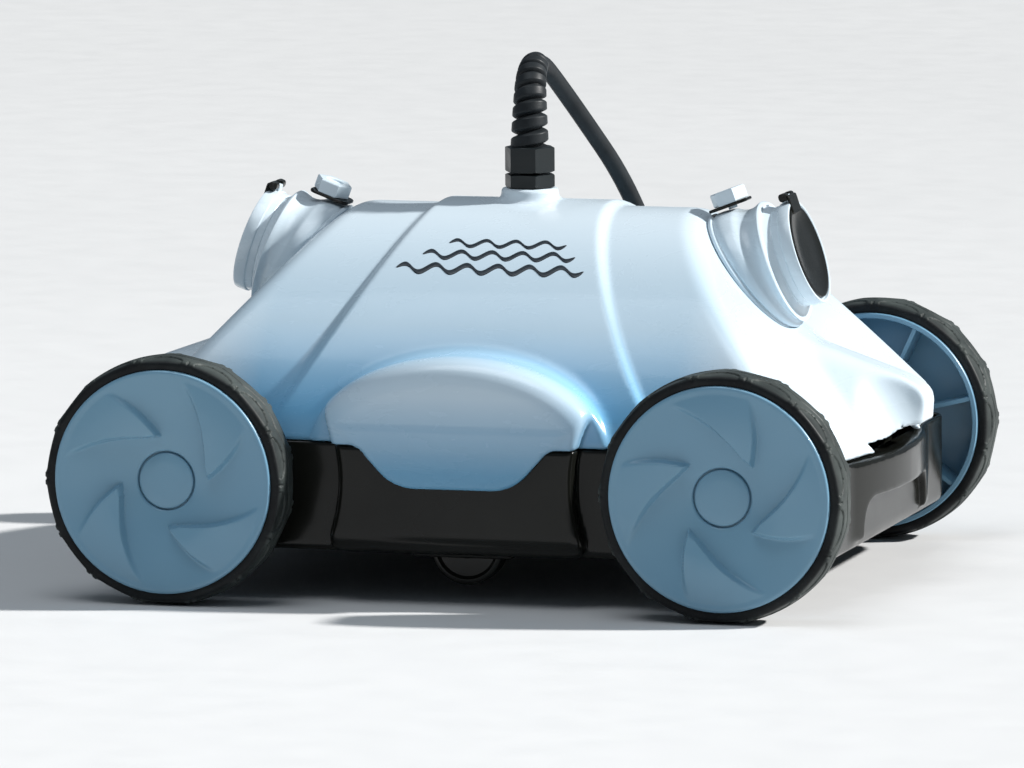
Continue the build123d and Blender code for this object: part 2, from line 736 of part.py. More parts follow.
for name, x, side in wheels:
    spin = Axis((x, 0, wheel_r), (0, 1, 0))
    with BuildPart() as wheel_hub:
        with BuildSketch(wheel_plane(x, side, wheel_inner_y + 3)):
            with PolarLocations(36, rib_count, start_angle=12):
                Rectangle(42, 2)
        extrude(amount=24)
        with BuildSketch(wheel_section(x, side)):
            with BuildLine():
                Polyline((axle_r + 0.06, wheel_inner_y), (15, wheel_inner_y), (17, dish_y - 4),
                         (48, 174.5), (55.5, 175.5), (55.5, wheel_inner_y), (rim_r, wheel_inner_y),
                         (rim_r, wheel_outer_y - 0.4), (56, wheel_outer_y), (50, 178), (cap_r + 0.2, dish_y),
                         (cap_r + 0.2, 168.8), (11, 168.8), (11, 159.7), (axle_r + 0.06, 159.7), close=True)
            make_face()
        revolve(axis=spin)
        with BuildSketch(wheel_section(x, side)):
            with BuildLine():
                Polyline((0, dish_y), (cap_r, dish_y), (50, 178), (56, wheel_outer_y), (rim_r, 178.6),
                         (rim_r, 190), (0, 190), close=True)
            make_face()
        revolve(axis=spin, mode=Mode.SUBTRACT)
    save(wheel_hub.part, f"wheel_hub_{name}")

    with BuildPart() as tyre:
        with BuildSketch(wheel_section(x, side)):
            with BuildLine():
                Polyline((rim_r, 150.5), (60.5, 150.5), (64, 155))
                ThreePointArc((64, 155), (wheel_r, 163.75), (64, 172.5))
                Polyline((64, 172.5), (60.5, 177), (rim_r, 177), (rim_r, 150.5))
            make_face()
        revolve(axis=spin)
    save(tyre.part, f"tyre_{name}")

    with BuildPart() as hub_cap:
        with BuildSketch(wheel_plane(x, side, 168.85)):
            Circle(cap_r)
        extrude(amount=2)
        with BuildSketch(wheel_plane(x, side, 166.4)):
            Circle(10.95)
        extrude(amount=2.6)
        fillet(hub_cap.faces().sort_by(Axis.Y)[-1 if side > 0 else 0].edges(), radius=0.5)
    save(hub_cap.part, f"hub_cap_{name}")

with BuildPart() as stub_axles:
    for _, x, side in wheels:
        with BuildSketch(wheel_plane(x, side, 127)):
            Circle(axle_r)
        extrude(amount=33)
        with BuildSketch(wheel_plane(x, side, 140)):
            Circle(3 + snug_fit)
        extrude(amount=25, mode=Mode.SUBTRACT)
save(stub_axles.part, "stub_axles")

with BuildPart() as axle_washers:
    for _, x, side in wheels:
        with BuildSketch(wheel_plane(x, side, 160)):
            Circle(10)
            Circle(3 + snug_fit, mode=Mode.SUBTRACT)
        extrude(amount=1.5)
save(axle_washers.part, "axle_washers")

with BuildPart() as axle_screws:
    for _, x, side in wheels:
        with BuildSketch(wheel_plane(x, side, 142)):
            Circle(3)
        extrude(amount=20)
        with BuildSketch(wheel_plane(x, side, 161.5)):
            Circle(6)
        extrude(amount=4)
        with BuildSketch(wheel_plane(x, side, 163)):
            RegularPolygon(2.5, 6)
        extrude(amount=4, mode=Mode.SUBTRACT)
save(axle_screws.part, "axle_screws")

# ---- skid rollers ----------------------------------------------------------------------------
for name, side in SIDES:
    with BuildPart() as skid_roller:
        with BuildSketch(Plane(origin=(0, side * (roller_y - 6), roller_z), x_dir=(1, 0, 0),
                               z_dir=(0, side, 0))):
            Circle(roller_r)
            Circle(3 + running_fit, mode=Mode.SUBTRACT)
        extrude(amount=12)
        chamfer(skid_roller.edges().filter_by(GeomType.CIRCLE).sort_by(SortBy.RADIUS)[-2:], 1.2)
    save(skid_roller.part, f"skid_roller_{name}")

with BuildPart() as skid_pins:
    for _, side in SIDES:
        with BuildSketch(Plane(origin=(0, side * 107, roller_z), x_dir=(1, 0, 0), z_dir=(0, side, 0))):
            Circle(3)
        extrude(amount=24)
save(skid_pins.part, "skid_pins")

# ---- hood screws -----------------------------------------------------------------------------
with BuildPart() as hood_screws:
    with BuildSketch(Plane.XY.offset(70)):
        with GridLocations(300, 216, 2, 2):
            Circle(2)
    extrude(amount=32)
    with BuildSketch(Plane.XY.offset(66.8)):
        with GridLocations(300, 216, 2, 2):
            Circle(4)
    extrude(amount=3.2)
save(hood_screws.part, "hood_screws")

# ---- gland -----------------------------------------------------------------------------------
with BuildPart() as gland_body:
    with BuildSketch(Plane.XY.offset(192)):
        Circle(10)
    extrude(amount=30)
    with BuildSketch(Plane.XY.offset(boss_top_z)):
        RegularPolygon(gland_flat / 2, 6, major_radius=False)
    extrude(amount=nut_z - boss_top_z)
    with BuildSketch(Plane.XY.offset(190)):
        Circle(cable_r + 0.02)
    extrude(amount=40, mode=Mode.SUBTRACT)
    with BuildSketch(Plane.XY.offset(213)):
        Circle(8)
    extrude(amount=12, mode=Mode.SUBTRACT)
save(gland_body.part, "gland_body")

with BuildPart() as gland_seal:
    with BuildSketch(Plane.XY.offset(213)):
        Circle(7.95)
        Circle(cable_r + 0.02, mode=Mode.SUBTRACT)
    extrude(amount=9)
save(gland_seal.part, "gland_seal")

with BuildPart() as gland_nut:
    with BuildSketch(Plane.XY.offset(nut_z)):
        RegularPolygon(gland_flat / 2, 6, major_radius=False)
    extrude(amount=nut_top_z - nut_z)
    with BuildSketch(Plane.XY.offset(nut_top_z)):
        Circle(11)
    extrude(amount=neck_top_z - nut_top_z)
    with BuildSketch(Plane.XY.offset(nut_z)):
        Circle(10.02)
    extrude(amount=10.5, mode=Mode.SUBTRACT)
    with BuildSketch(Plane.XY.offset(nut_z)):
        Circle(7.5)
    extrude(amount=30, mode=Mode.SUBTRACT)
save(gland_nut.part, "gland_nut")

with BuildPart() as inner_lead:
    with BuildSketch(Plane.XY.offset(178.5)):
        Circle(cable_r)
    extrude(amount=222 - 178.5)
save(inner_lead.part, "inner_lead")

# ---- floating cable --------------------------------------------------------------------------
# Out of the gland, over backwards, down behind the hood and along the floor to the coil.
cable_route = [
    (0, 0, 222), (0, 0, 248), (-3, 15, 266), (-5, 40, 268), (-1, 64, 252), (8, 86, 229),
    (19, 111, 201), (27, 136, 167), (31, 160, 130), (31, 178, 90), (31, 190, 50),
    (31, 212, 14), (31, 248, 4.75), (31, 290, 6.35),
]


def route_radii(points):
    """Largest smooth arc at each corner: 0.45 of the shorter run over the tangent of half the turn."""
    corners = [Vector(*point) for point in points]
    radii = []
    for before, here, after in zip(corners, corners[1:], corners[2:]):
        first, second = here - before, after - here
        half_turn = radians(first.get_angle(second)) / 2
        radii.append(0.45 * min(first.length, second.length) / tan(half_turn))
    return radii


cable_radii = route_radii(cable_route)
print("cable arc radii", [round(radius, 1) for radius in cable_radii])

with BuildPart() as cable:
    with BuildLine() as cable_line:
        FilletPolyline(*cable_route, radius=cable_radii)
    with BuildSketch(Plane(origin=cable_route[0], z_dir=(0, 0, 1))):
        Circle(cable_r)
    sweep(path=cable_line.wires()[0])
cable_length = cable_line.wires()[0].length
print("cable run", round(cable_length, 1), "volume ratio",
      round(cable.part.volume / (cable_length * pi * cable_r**2), 4))
save(cable.part, "cable")

# tapered strain relief round the first bend
relief_start = Vector(0, 0, nut_top_z)
relief_end = Vector(*cable_route[2]) * 0.55 + Vector(*cable_route[3]) * 0.45
relief_points = [relief_start, Vector(*cable_route[1]), Vector(*cable_route[2]), relief_end]
with BuildPart() as strain_relief:
    with BuildLine() as relief_line:
        FilletPolyline(*relief_points, radius=cable_radii[:2])
    with BuildSketch(Plane(origin=relief_start, z_dir=(0, 0, 1))):
        Circle(7.4)
    sweep(path=relief_line.wires()[0])
    with BuildSketch(Plane.XY.offset(neck_top_z + 0.6)):
        Circle(10.6)
    extrude(amount=7, taper=12)
    with BuildSketch(Plane(origin=relief_start, z_dir=(0, 0, 1))):
        Circle(cable_r)
    sweep(path=relief_line.wires()[0], mode=Mode.SUBTRACT)
save(strain_relief.part, "strain_relief")

# the stored length, wound into a coil behind the cleaner
coil_x, coil_y = -74.0, 300.0
coil_mean_r, coil_band, coil_low_z, coil_high_z = 86.0, 24.0, 1.6, 39.8

with BuildPart() as cable_coil:
    with BuildSketch(Plane(origin=(coil_x, coil_y, 0), x_dir=(1, 0, 0), z_dir=(0, -1, 0))):
        with Locations((coil_mean_r, (coil_low_z + coil_high_z) / 2)):
            RectangleRounded(2 * coil_band, coil_high_z - coil_low_z, cable_r)
    revolve(axis=Axis((coil_x, coil_y, 0), (0, 0, 1)))
save(cable_coil.part, "cable_coil")

with BuildPart() as coil_tie:
    with BuildSketch(Plane(origin=(coil_x, coil_y, 0), x_dir=(0, 1, 0), z_dir=(1, 0, 0))):
        with Locations((coil_mean_r, (coil_low_z + coil_high_z) / 2)):
            RectangleRounded(2 * coil_band + 3.4, coil_high_z - coil_low_z + 3.2, 5)
            RectangleRounded(2 * coil_band + 0.6, coil_high_z - coil_low_z + 0.2, 3.6, mode=Mode.SUBTRACT)
    extrude(amount=9, both=True)
save(coil_tie.part, "coil_tie")

# waterproof connector lying on top of the coil, pointing the way the turns run
plug_r, plug_length = 12.5, 48.0
with BuildPart() as connector:
    plug_start = Plane(origin=(coil_x - plug_length / 2, coil_y - coil_mean_r, coil_high_z + plug_r),
                       x_dir=(0, 1, 0), z_dir=(1, 0, 0))
    with BuildSketch(plug_start):
        Circle(7.5)
    with BuildSketch(plug_start.offset(14)):
        Circle(10)
    loft()
    with BuildSketch(plug_start.offset(14)):
        Circle(10)
    extrude(amount=plug_length - 14)
    with BuildSketch(plug_start.offset(22)):
        Circle(plug_r)
    extrude(amount=18)
    with BuildSketch(plug_start.offset(plug_length - 12)):
        Circle(7.6)
    extrude(amount=12, mode=Mode.SUBTRACT)
    with BuildSketch(plug_start.offset(plug_length - 12)):
        with PolarLocations(4, 4):
            Circle(1)
    extrude(amount=9)
save(connector.part, "connector")
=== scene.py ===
import json
from math import cos, pi, radians, sin

import bpy
import numpy as np
from mathutils import Matrix, Vector


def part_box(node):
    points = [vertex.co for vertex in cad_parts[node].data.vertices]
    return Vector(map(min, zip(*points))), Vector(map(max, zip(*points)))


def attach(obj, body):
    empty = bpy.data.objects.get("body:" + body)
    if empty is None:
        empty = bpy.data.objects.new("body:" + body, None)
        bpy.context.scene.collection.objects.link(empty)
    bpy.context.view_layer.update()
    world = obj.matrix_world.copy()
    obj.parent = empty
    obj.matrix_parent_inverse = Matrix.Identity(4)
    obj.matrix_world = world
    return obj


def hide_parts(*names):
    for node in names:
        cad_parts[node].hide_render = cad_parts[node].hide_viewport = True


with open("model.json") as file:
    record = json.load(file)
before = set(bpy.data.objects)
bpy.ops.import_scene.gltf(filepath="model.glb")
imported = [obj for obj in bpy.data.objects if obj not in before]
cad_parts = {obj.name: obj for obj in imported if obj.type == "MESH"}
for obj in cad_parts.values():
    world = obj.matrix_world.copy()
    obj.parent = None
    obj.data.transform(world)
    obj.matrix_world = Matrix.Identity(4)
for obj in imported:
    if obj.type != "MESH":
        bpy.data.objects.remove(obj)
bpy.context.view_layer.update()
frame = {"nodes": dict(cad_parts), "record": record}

MM = 0.001
ENDS = (("left", -1), ("right", 1))
SIDES = (("front", -1), ("back", 1))

# ---- driving dimensions, millimetres, as in the part's source ----
crown_z, rim_z, side_half_y = 198.0, 84.0, 139.0
wheel_r, wheel_x = 65.0, 149.3
wheel_arch_r = 86.0
bulge_half_x, bulge_height, bulge_y = 79.0, 46.0, 153.0
pod_y, tray_low_z, floor_z, tray_half_x = 149.5, 26.0, 30.0, 195.0
bumper_x, bumper_top_z, grip_half_y, grip_top_z = 207.5, 73.0, 66.0, 52.0
skirt_start_x = 184.0
skirt_sum = 274.2
seat_x, seat_z, seat_tilt = 121.3, 160.8, 36.87
neck_x, neck_z, neck_tilt = 141.9, 170.2, 18.7
mouth_length, outlet_r = 11.5, 24.0
tongue_half_w, lug_half_w = 8.4, 2.6
rim_r, dish_y, cap_r = 58.5, 170.5, 15.0
cable_r = 4.75
coil_x, coil_y = -74.0, 300.0
coil_mean_r, coil_band, coil_low_z, coil_high_z = 86.0, 24.0, 1.6, 39.8
plug_z = coil_high_z + 12.5
hood_wall, tray_wall = 3.1, 3.0
hood_pitch, tray_pitch = 1.7, 1.6


# ---- camera ----
def make_camera():
    """Long lens from a little to the right of the front, just above the hood."""
    yaw, pitch, roll = radians(15.9), radians(7.12), radians(-0.38)
    back = Vector((sin(yaw) * cos(pitch), -cos(yaw) * cos(pitch), sin(pitch)))
    right = Vector((cos(yaw), sin(yaw), 0))
    up = back.cross(right)
    rolled_right = cos(roll) * right + sin(roll) * up
    rolled_up = cos(roll) * up - sin(roll) * right
    data = bpy.data.cameras.new("camera")
    data.sensor_width, data.lens = 36.0, 368.3
    data.clip_start, data.clip_end = 0.1, 100.0
    camera = bpy.data.objects.new("camera", data)
    turn = Matrix((rolled_right, rolled_up, back)).transposed().to_4x4()
    camera.matrix_world = Matrix.Translation((1.5026, -5.3123, 0.7886)) @ turn
    bpy.context.scene.collection.objects.link(camera)
    bpy.context.scene.camera = camera


make_camera()


# ---- materials ----
class Shader:
    """A Principled material with helpers for procedural detail."""

    def __init__(self, name, **sockets):
        self.material = bpy.data.materials.new(name)
        self.material.use_nodes = True
        self.tree = self.material.node_tree
        self.surface = self.tree.nodes["Principled BSDF"]
        self.coords = self.tree.nodes.new("ShaderNodeTexCoord").outputs["Object"]
        self.height = None
        for socket, value in sockets.items():
            self.surface.inputs[socket.replace("_", " ")].default_value = value

    def link(self, source, target):
        self.tree.links.new(source, target)

    def stretched(self, scale):
        """Object coordinates, scaled along each axis."""
        node = self.tree.nodes.new("ShaderNodeMapping")
        node.inputs["Scale"].default_value = scale
        self.link(self.coords, node.inputs["Vector"])
        return node.outputs["Vector"]

    def noise(self, scale, detail=4.0, rough=0.5, warp=0.0, coords=None):
        node = self.tree.nodes.new("ShaderNodeTexNoise")
        node.inputs["Scale"].default_value = scale
        node.inputs["Detail"].default_value = detail
        node.inputs["Roughness"].default_value = rough
        node.inputs["Distortion"].default_value = warp
        self.link(coords or self.coords, node.inputs["Vector"])
        return node.outputs["Fac"]

    def cells(self, scale, feature="F1", coords=None):
        node = self.tree.nodes.new("ShaderNodeTexVoronoi")
        node.feature = feature
        node.inputs["Scale"].default_value = scale
        self.link(coords or self.coords, node.inputs["Vector"])
        return node.outputs["Distance"]

    def waves(self, scale, axis="Z", warp=0.0, coords=None):
        node = self.tree.nodes.new("ShaderNodeTexWave")
        node.bands_direction = axis
        node.inputs["Scale"].default_value = scale
        node.inputs["Distortion"].default_value = warp
        self.link(coords or self.coords, node.inputs["Vector"])
        return node.outputs["Fac"]

    def ramp(self, source, *stops):
        """Colour ramp from (position, colour or grey) stops."""
        node = self.tree.nodes.new("ShaderNodeValToRGB")
        ramp = node.color_ramp
        while len(ramp.elements) < len(stops):
            ramp.elements.new(0.5)
        for element, (position, value) in zip(ramp.elements, stops):
            element.position = position
            element.color = (*value, 1) if isinstance(value, tuple) else (value, value, value, 1)
        self.link(source, node.inputs["Fac"])
        return node.outputs["Color"]

    def range(self, source, low, high, from_low=0.3, from_high=0.7):
        node = self.tree.nodes.new("ShaderNodeMapRange")
        limits = {"From Min": from_low, "From Max": from_high, "To Min": low, "To Max": high}
        for socket, value in limits.items():
            node.inputs[socket].default_value = value
        self.link(source, node.inputs["Value"])
        return node.outputs["Result"]

    def mix(self, factor, first, second, mode="MIX"):
        """Mix two colours; each is an output or a tuple, factor an output or a number."""
        node = self.tree.nodes.new("ShaderNodeMix")
        node.data_type, node.blend_type = "RGBA", mode
        for socket, value in ((node.inputs[0], factor), (node.inputs[6], first), (node.inputs[7], second)):
            if isinstance(value, bpy.types.NodeSocket):
                self.link(value, socket)
            else:
                socket.default_value = (*value, 1) if isinstance(value, tuple) else value
        return node.outputs[2]

    def along(self, axis):
        node = self.tree.nodes.new("ShaderNodeSeparateXYZ")
        self.link(self.coords, node.inputs["Vector"])
        return node.outputs[axis]

    def product(self, first, second):
        node = self.tree.nodes.new("ShaderNodeMath")
        node.operation = "MULTIPLY"
        self.link(first, node.inputs[0])
        self.link(second, node.inputs[1])
        return node.outputs[0]

    def size(self, source):
        node = self.tree.nodes.new("ShaderNodeMath")
        node.operation = "ABSOLUTE"
        self.link(source, node.inputs[0])
        return node.outputs[0]

    def from_axle(self):
        """Distance from the nearest wheel's axle line, the same whichever way the wheel has turned."""
        flat = self.tree.nodes.new("ShaderNodeCombineXYZ")
        self.link(self.size(self.along("X")), flat.inputs["X"])
        self.link(self.along("Z"), flat.inputs["Z"])
        node = self.tree.nodes.new("ShaderNodeVectorMath")
        node.operation = "DISTANCE"
        node.inputs[1].default_value = (wheel_x * MM, 0, wheel_r * MM)
        self.link(flat.outputs["Vector"], node.inputs[0])
        return node.outputs["Value"]

    def colour(self, output):
        self.link(output, self.surface.inputs["Base Color"])

    def roughness(self, output):
        self.link(output, self.surface.inputs["Roughness"])

    def bump(self, output, distance, strength=1.0):
        """Add a layer of relief, distance in metres."""
        node = self.tree.nodes.new("ShaderNodeBump")
        node.inputs["Distance"].default_value = distance
        node.inputs["Strength"].default_value = strength
        self.link(output, node.inputs["Height"])
        if self.height:
            self.link(self.height, node.inputs["Normal"])
        self.height = node.outputs["Normal"]
        self.link(self.height, self.surface.inputs["Normal"])


def moulded(name, light, dark, rough, grain=0.00002, grain_scale=1400, coat=0.0, shine=0.45):
    """Moulded plastic: slight colour drift, specks, fine grain and handling marks."""
    s = Shader(name, Coat_Weight=coat, Coat_Roughness=0.08, Specular_IOR_Level=shine)
    drift = s.noise(9, 3, 0.5, 0.3)
    base = s.mix(s.range(drift, 0, 1), dark, light)
    speck = s.range(s.noise(620, 2), 0, 0.03, 0.62, 0.74)
    s.colour(s.mix(speck, base, tuple(0.6 * v for v in dark)))
    wipe = s.noise(26, 5, 0.6, 0.6, s.stretched((1, 1, 3)))
    s.roughness(s.range(wipe, 0.825 * rough, 1.35 * rough))
    s.bump(s.noise(grain_scale, 2), grain)
    s.bump(s.noise(90, 3, 0.5), grain * 1.5)
    return s


def hood_plastic():
    """Very pale blue gloss shell with painted shade: away from the sunlit ends its side faces are painted
    deeper blue towards their lower edge, deepest at the tab.
    """
    s = Shader("hood_plastic", Coat_Weight=0.2, Coat_Roughness=0.06, Specular_IOR_Level=0.45)
    drift = s.noise(7, 3, 0.5, 0.2)
    base = s.mix(s.range(drift, 0, 1), (0.575, 0.665, 0.73), (0.60, 0.69, 0.75))
    # painted shade: lower side faces painted deeper blue by height, standing in for skylit shade
    painted_shade_ramp = s.ramp(s.range(s.along("Z"), 0, 1, 0.068, 0.192), (0.0, (0.09, 0.36, 0.64)),
                  (0.26, (0.19, 0.48, 0.75)), (0.6, (0.375, 0.515, 0.62)), (1.0, (0.5875, 0.6775, 0.74)))
    # the painted shade keeps off the sunlit ends and is weaker on the side bulge
    middle = s.range(s.size(s.along("X")), 1, 0, 0.112, 0.152)
    behind_bulge = s.range(s.size(s.along("Y")), 1, 0.25, 0.134, 0.149)
    with_painted_shade = s.mix(s.product(middle, behind_bulge), base, painted_shade_ramp)
    # painted shade: the lowest band and the downward-facing tab painted a deeper blue still
    low_shade_mask = s.range(s.along("Z"), 1, 0, 0.070, 0.110)
    with_painted_shade = s.mix(s.product(low_shade_mask, middle), with_painted_shade, (0.12, 0.325, 0.51))
    dust = s.range(s.noise(340, 3, 0.6), 0, 0.03, 0.6, 0.75)
    s.colour(s.mix(dust, with_painted_shade, (0.75, 0.8, 0.82)))
    wipe = s.noise(22, 5, 0.6, 0.5, s.stretched((1, 1, 2.5)))
    s.roughness(s.range(wipe, 0.2, 0.32))
    s.bump(s.noise(1500, 2), 0.000012)
    s.bump(s.noise(30, 2), 0.00006)
    scratch = s.cells(60, "DISTANCE_TO_EDGE", s.stretched((0.35, 1.4, 1.1)))
    s.bump(s.range(scratch, 0, 1, 0.0, 0.006), 0.000008)
    return s


def tray_plastic():
    s = Shader("tray_plastic", Specular_IOR_Level=0.2, Coat_Weight=0.05, Coat_Roughness=0.05)
    drift = s.noise(12, 3)
    s.colour(s.mix(s.range(drift, 0, 1), (0.005, 0.0052, 0.0044), (0.009, 0.0095, 0.0078)))
    s.roughness(s.range(s.noise(30, 5, 0.6, 0.5), 0.12, 0.24))
    s.bump(s.noise(18, 2, 0.4), 0.00012)
    s.bump(s.noise(1100, 2), 0.00001)
    return s


def wheel_plastic():
    s = moulded("wheel_plastic", (0.163, 0.315, 0.43), (0.135, 0.28, 0.40), 0.34, coat=0.1)
    s.bump(s.noise(45, 2), 0.00005)
    return s


def tyre_rubber():
    """Black rubber with fine grit, its tread grey with dust."""
    s = Shader("tyre_rubber", Specular_IOR_Level=0.22)
    bloom = s.range(s.noise(38, 5, 0.65, 0.4), 0, 1, 0.42, 0.68)
    wall = s.mix(bloom, (0.003, 0.004, 0.005), (0.009, 0.012, 0.013))
    dusty = s.mix(bloom, (0.026, 0.032, 0.031), (0.060, 0.071, 0.067))
    base = s.mix(s.range(s.from_axle(), 0, 1, 0.0626, 0.0641), wall, dusty)
    grit = s.range(s.cells(520), 1, 0, 0.0, 0.28)
    s.colour(s.mix(s.range(grit, 0, 0.25, 0, 1), base, (0.05, 0.054, 0.052)))
    s.roughness(s.range(s.noise(60, 4), 0.42, 0.66))
    s.bump(s.noise(700, 3, 0.6), 0.00004)
    s.bump(s.noise(120, 3), 0.00006)
    return s


def cable_jacket():
    """Foamed rubber jacket: matt, with an uneven grain."""
    s = Shader("cable_jacket", Specular_IOR_Level=0.25, Sheen_Weight=0.02, Sheen_Roughness=0.5)
    s.colour(s.mix(s.range(s.noise(70, 5, 0.6), 0, 1), (0.006, 0.008, 0.010), (0.013, 0.017, 0.020)))
    s.roughness(s.range(s.noise(150, 4), 0.42, 0.6))
    s.bump(s.noise(900, 3, 0.65), 0.00005)
    s.bump(s.noise(210, 3), 0.00008)
    return s


def cloth(name, light, dark):
    """Fine woven filter cloth."""
    s = Shader(name, Sheen_Weight=0.3, Sheen_Roughness=0.4)
    weave = s.mix(0.5, s.waves(380, "X", 0.4), s.waves(380, "Y", 0.4), "MULTIPLY")
    s.colour(s.mix(s.range(s.noise(14, 4), 0, 1), dark, light))
    s.roughness(s.range(s.noise(60), 0.75, 0.92))
    s.bump(weave, 0.00015)
    s.bump(s.waves(380, "Z", 0.4), 0.0001)
    return s


def brushed(name, tint):
    s = Shader(name, Metallic=1.0)
    streaks = s.noise(900, 2, 0.5, 0, s.stretched((0.05, 1, 1)))
    s.colour(s.mix(s.range(s.noise(40, 3), 0, 1), tuple(0.8 * v for v in tint), tint))
    s.roughness(s.range(streaks, 0.24, 0.42))
    s.bump(streaks, 0.00001)
    return s


def ink():
    s = Shader("mark_ink")
    s.colour(s.mix(s.range(s.noise(160, 4), 0, 1), (0.006, 0.010, 0.016), (0.014, 0.022, 0.030)))
    s.roughness(s.range(s.noise(220, 3), 0.28, 0.45))
    s.bump(s.noise(800, 2), 0.00001)
    return s


def board():
    s = moulded("circuit_board", (0.02, 0.16, 0.06), (0.01, 0.09, 0.035), 0.35)
    tracks = s.range(s.cells(160, "DISTANCE_TO_EDGE"), 1, 0, 0.02, 0.05)
    s.bump(tracks, 0.00008)
    return s


MATERIALS = {
    "hood_plastic": hood_plastic(),
    "tray_plastic": tray_plastic(),
    "wheel_plastic": wheel_plastic(),
    "tyre_rubber": tyre_rubber(),
    "seal_rubber": moulded("seal_rubber", (0.012, 0.012, 0.014), (0.007, 0.007, 0.008), 0.55, shine=0.3),
    "cable_jacket": cable_jacket(),
    "gland_plastic": moulded("gland_plastic", (0.011, 0.015, 0.017), (0.006, 0.009, 0.010), 0.36, shine=0.32),
    "inner_plastic": moulded("inner_plastic", (0.11, 0.12, 0.13), (0.08, 0.088, 0.095), 0.45),
    "steel": brushed("steel", (0.62, 0.62, 0.60)),
    "circuit_board": board(),
    "foam": moulded("foam", (0.75, 0.74, 0.68), (0.66, 0.65, 0.58), 0.85, 0.0004, 420),
    "filter_cloth": cloth("filter_cloth", (0.72, 0.74, 0.72), (0.60, 0.62, 0.60)),
    "mark_ink": ink(),
}
NODE_SLOT = {part["node"]: part["material_slot"] for part in frame["record"]["subparts"]}


# ---- mesh helpers ----
def add_mesh(name, shape, material, body, replaced=(), crease=None):
    """Make a piece from (points in millimetres, faces) and put it on its body.

    Its shading is smooth, but for edges whose faces meet at more than crease degrees.
    """
    points, faces = shape
    mesh = bpy.data.meshes.new(name)
    mesh.from_pydata((np.asarray(points, float) * MM).tolist(), [], [list(map(int, f)) for f in faces])
    mesh.validate()
    mesh.polygons.foreach_set("use_smooth", np.ones(len(mesh.polygons), bool))
    if crease:
        mesh.set_sharp_from_angle(angle=radians(crease))
    mesh.materials.append(MATERIALS[material].material)
    piece = bpy.data.objects.new(name, mesh)
    bpy.context.scene.collection.objects.link(piece)
    return settle(piece, body, replaced)


def settle(piece, body, replaced=()):
    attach(piece, body)
    if replaced:
        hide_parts(*replaced)
    return piece


def grid_faces(rows, columns, wrap_rows=False, wrap_columns=False, flip=False):
    """Quads of a rows by columns grid of points, numbered row by row."""
    i = np.arange(rows if wrap_rows else rows - 1)
    j = np.arange(columns if wrap_columns else columns - 1)
    i, j = (a.ravel() for a in np.meshgrid(i, j, indexing="ij"))
    i2, j2 = (i + 1) % rows, (j + 1) % columns
    quads = np.stack([i * columns + j, i2 * columns + j, i2 * columns + j2, i * columns + j2], 1)
    return quads[:, ::-1] if flip else quads


def joined(*parts):
    """Several (points, faces) as one."""
    points, faces, start = [], [], 0
    for part_points, part_faces in parts:
        points.append(np.asarray(part_points, float))
        faces += [[int(v) + start for v in face] for face in part_faces]
        start += len(part_points)
    return np.concatenate(points), faces


def turned(profile, place, steps=96, relief=None):
    """Revolve a closed (radius, advance) outline. place maps (radius*cos, radius*sin, advance)."""
    outline = np.array(profile, float)
    angle = np.linspace(0, 2 * pi, steps, endpoint=False)
    radius = np.repeat(outline[:, 0][:, None], steps, 1)
    advance = np.repeat(outline[:, 1][:, None], steps, 1)
    if relief is not None:
        radius, advance = relief(radius, advance, angle[None, :])
    points = np.stack([radius * np.cos(angle), radius * np.sin(angle), advance], -1).reshape(-1, 3)
    return place(points), grid_faces(len(outline), steps, True, True)


def placed(origin, across, up, along):
    """Map local points to the frame with these axes."""
    axes = np.array([across, up, along], float)
    return lambda points: np.asarray(points, float) @ axes + np.array(origin, float)


def rounded_path(corners, radius, steps=5):
    """A closed outline with its corners rounded."""
    corners = np.array(corners, float)
    points = []
    for before, here, after in zip(np.roll(corners, 1, 0), corners, np.roll(corners, -1, 0)):
        into, out = before - here, after - here
        reach = min(radius, 0.45 * np.hypot(*into), 0.45 * np.hypot(*out))
        start, end = here + into / np.hypot(*into) * reach, here + out / np.hypot(*out) * reach
        for u in np.linspace(0, 1, steps):
            points.append((1 - u) ** 2 * start + 2 * u * (1 - u) * here + u * u * end)
    return np.array(points)


def rectangle(x_low, y_low, x_high, y_high):
    return [(x_low, y_low), (x_high, y_low), (x_high, y_high), (x_low, y_high)]


def circle(radius, count):
    return [(radius * cos(a), radius * sin(a)) for a in np.linspace(0, 2 * pi, count, endpoint=False)]


def prism(outline, place, low, high, bevel=0.5):
    """Extruded outline with bevelled rims, capped."""
    outline = np.array(outline, float)
    centre = outline.mean(0)
    reach = np.abs(outline - centre).max()
    inner = centre + (outline - centre) * (1 - bevel / reach)
    rings = [(inner, low), (outline, low + bevel), (outline, high - bevel), (inner, high)]
    points = np.concatenate([np.column_stack([ring, np.full(len(ring), z)]) for ring, z in rings])
    n = len(outline)
    faces = [list(f) for f in grid_faces(4, n, False, True)]
    faces += [list(range(n)), list(range(4 * n - 1, 3 * n - 1, -1))]
    return place(points), faces


# ---- surfaces from fields ----
def smin(a, b, k):
    """The lesser of two fields, with a blend of width k."""
    h = np.maximum(k - np.abs(a - b), 0) / k
    return np.minimum(a, b) - h * h * k / 4


def smax(a, b, k):
    return -smin(-a, -b, k)


def step(x, width):
    """Smooth rise from 0 to 1 over width, centred on 0."""
    u = np.clip(x / width + 0.5, 0, 1)
    return u * u * (3 - 2 * u)


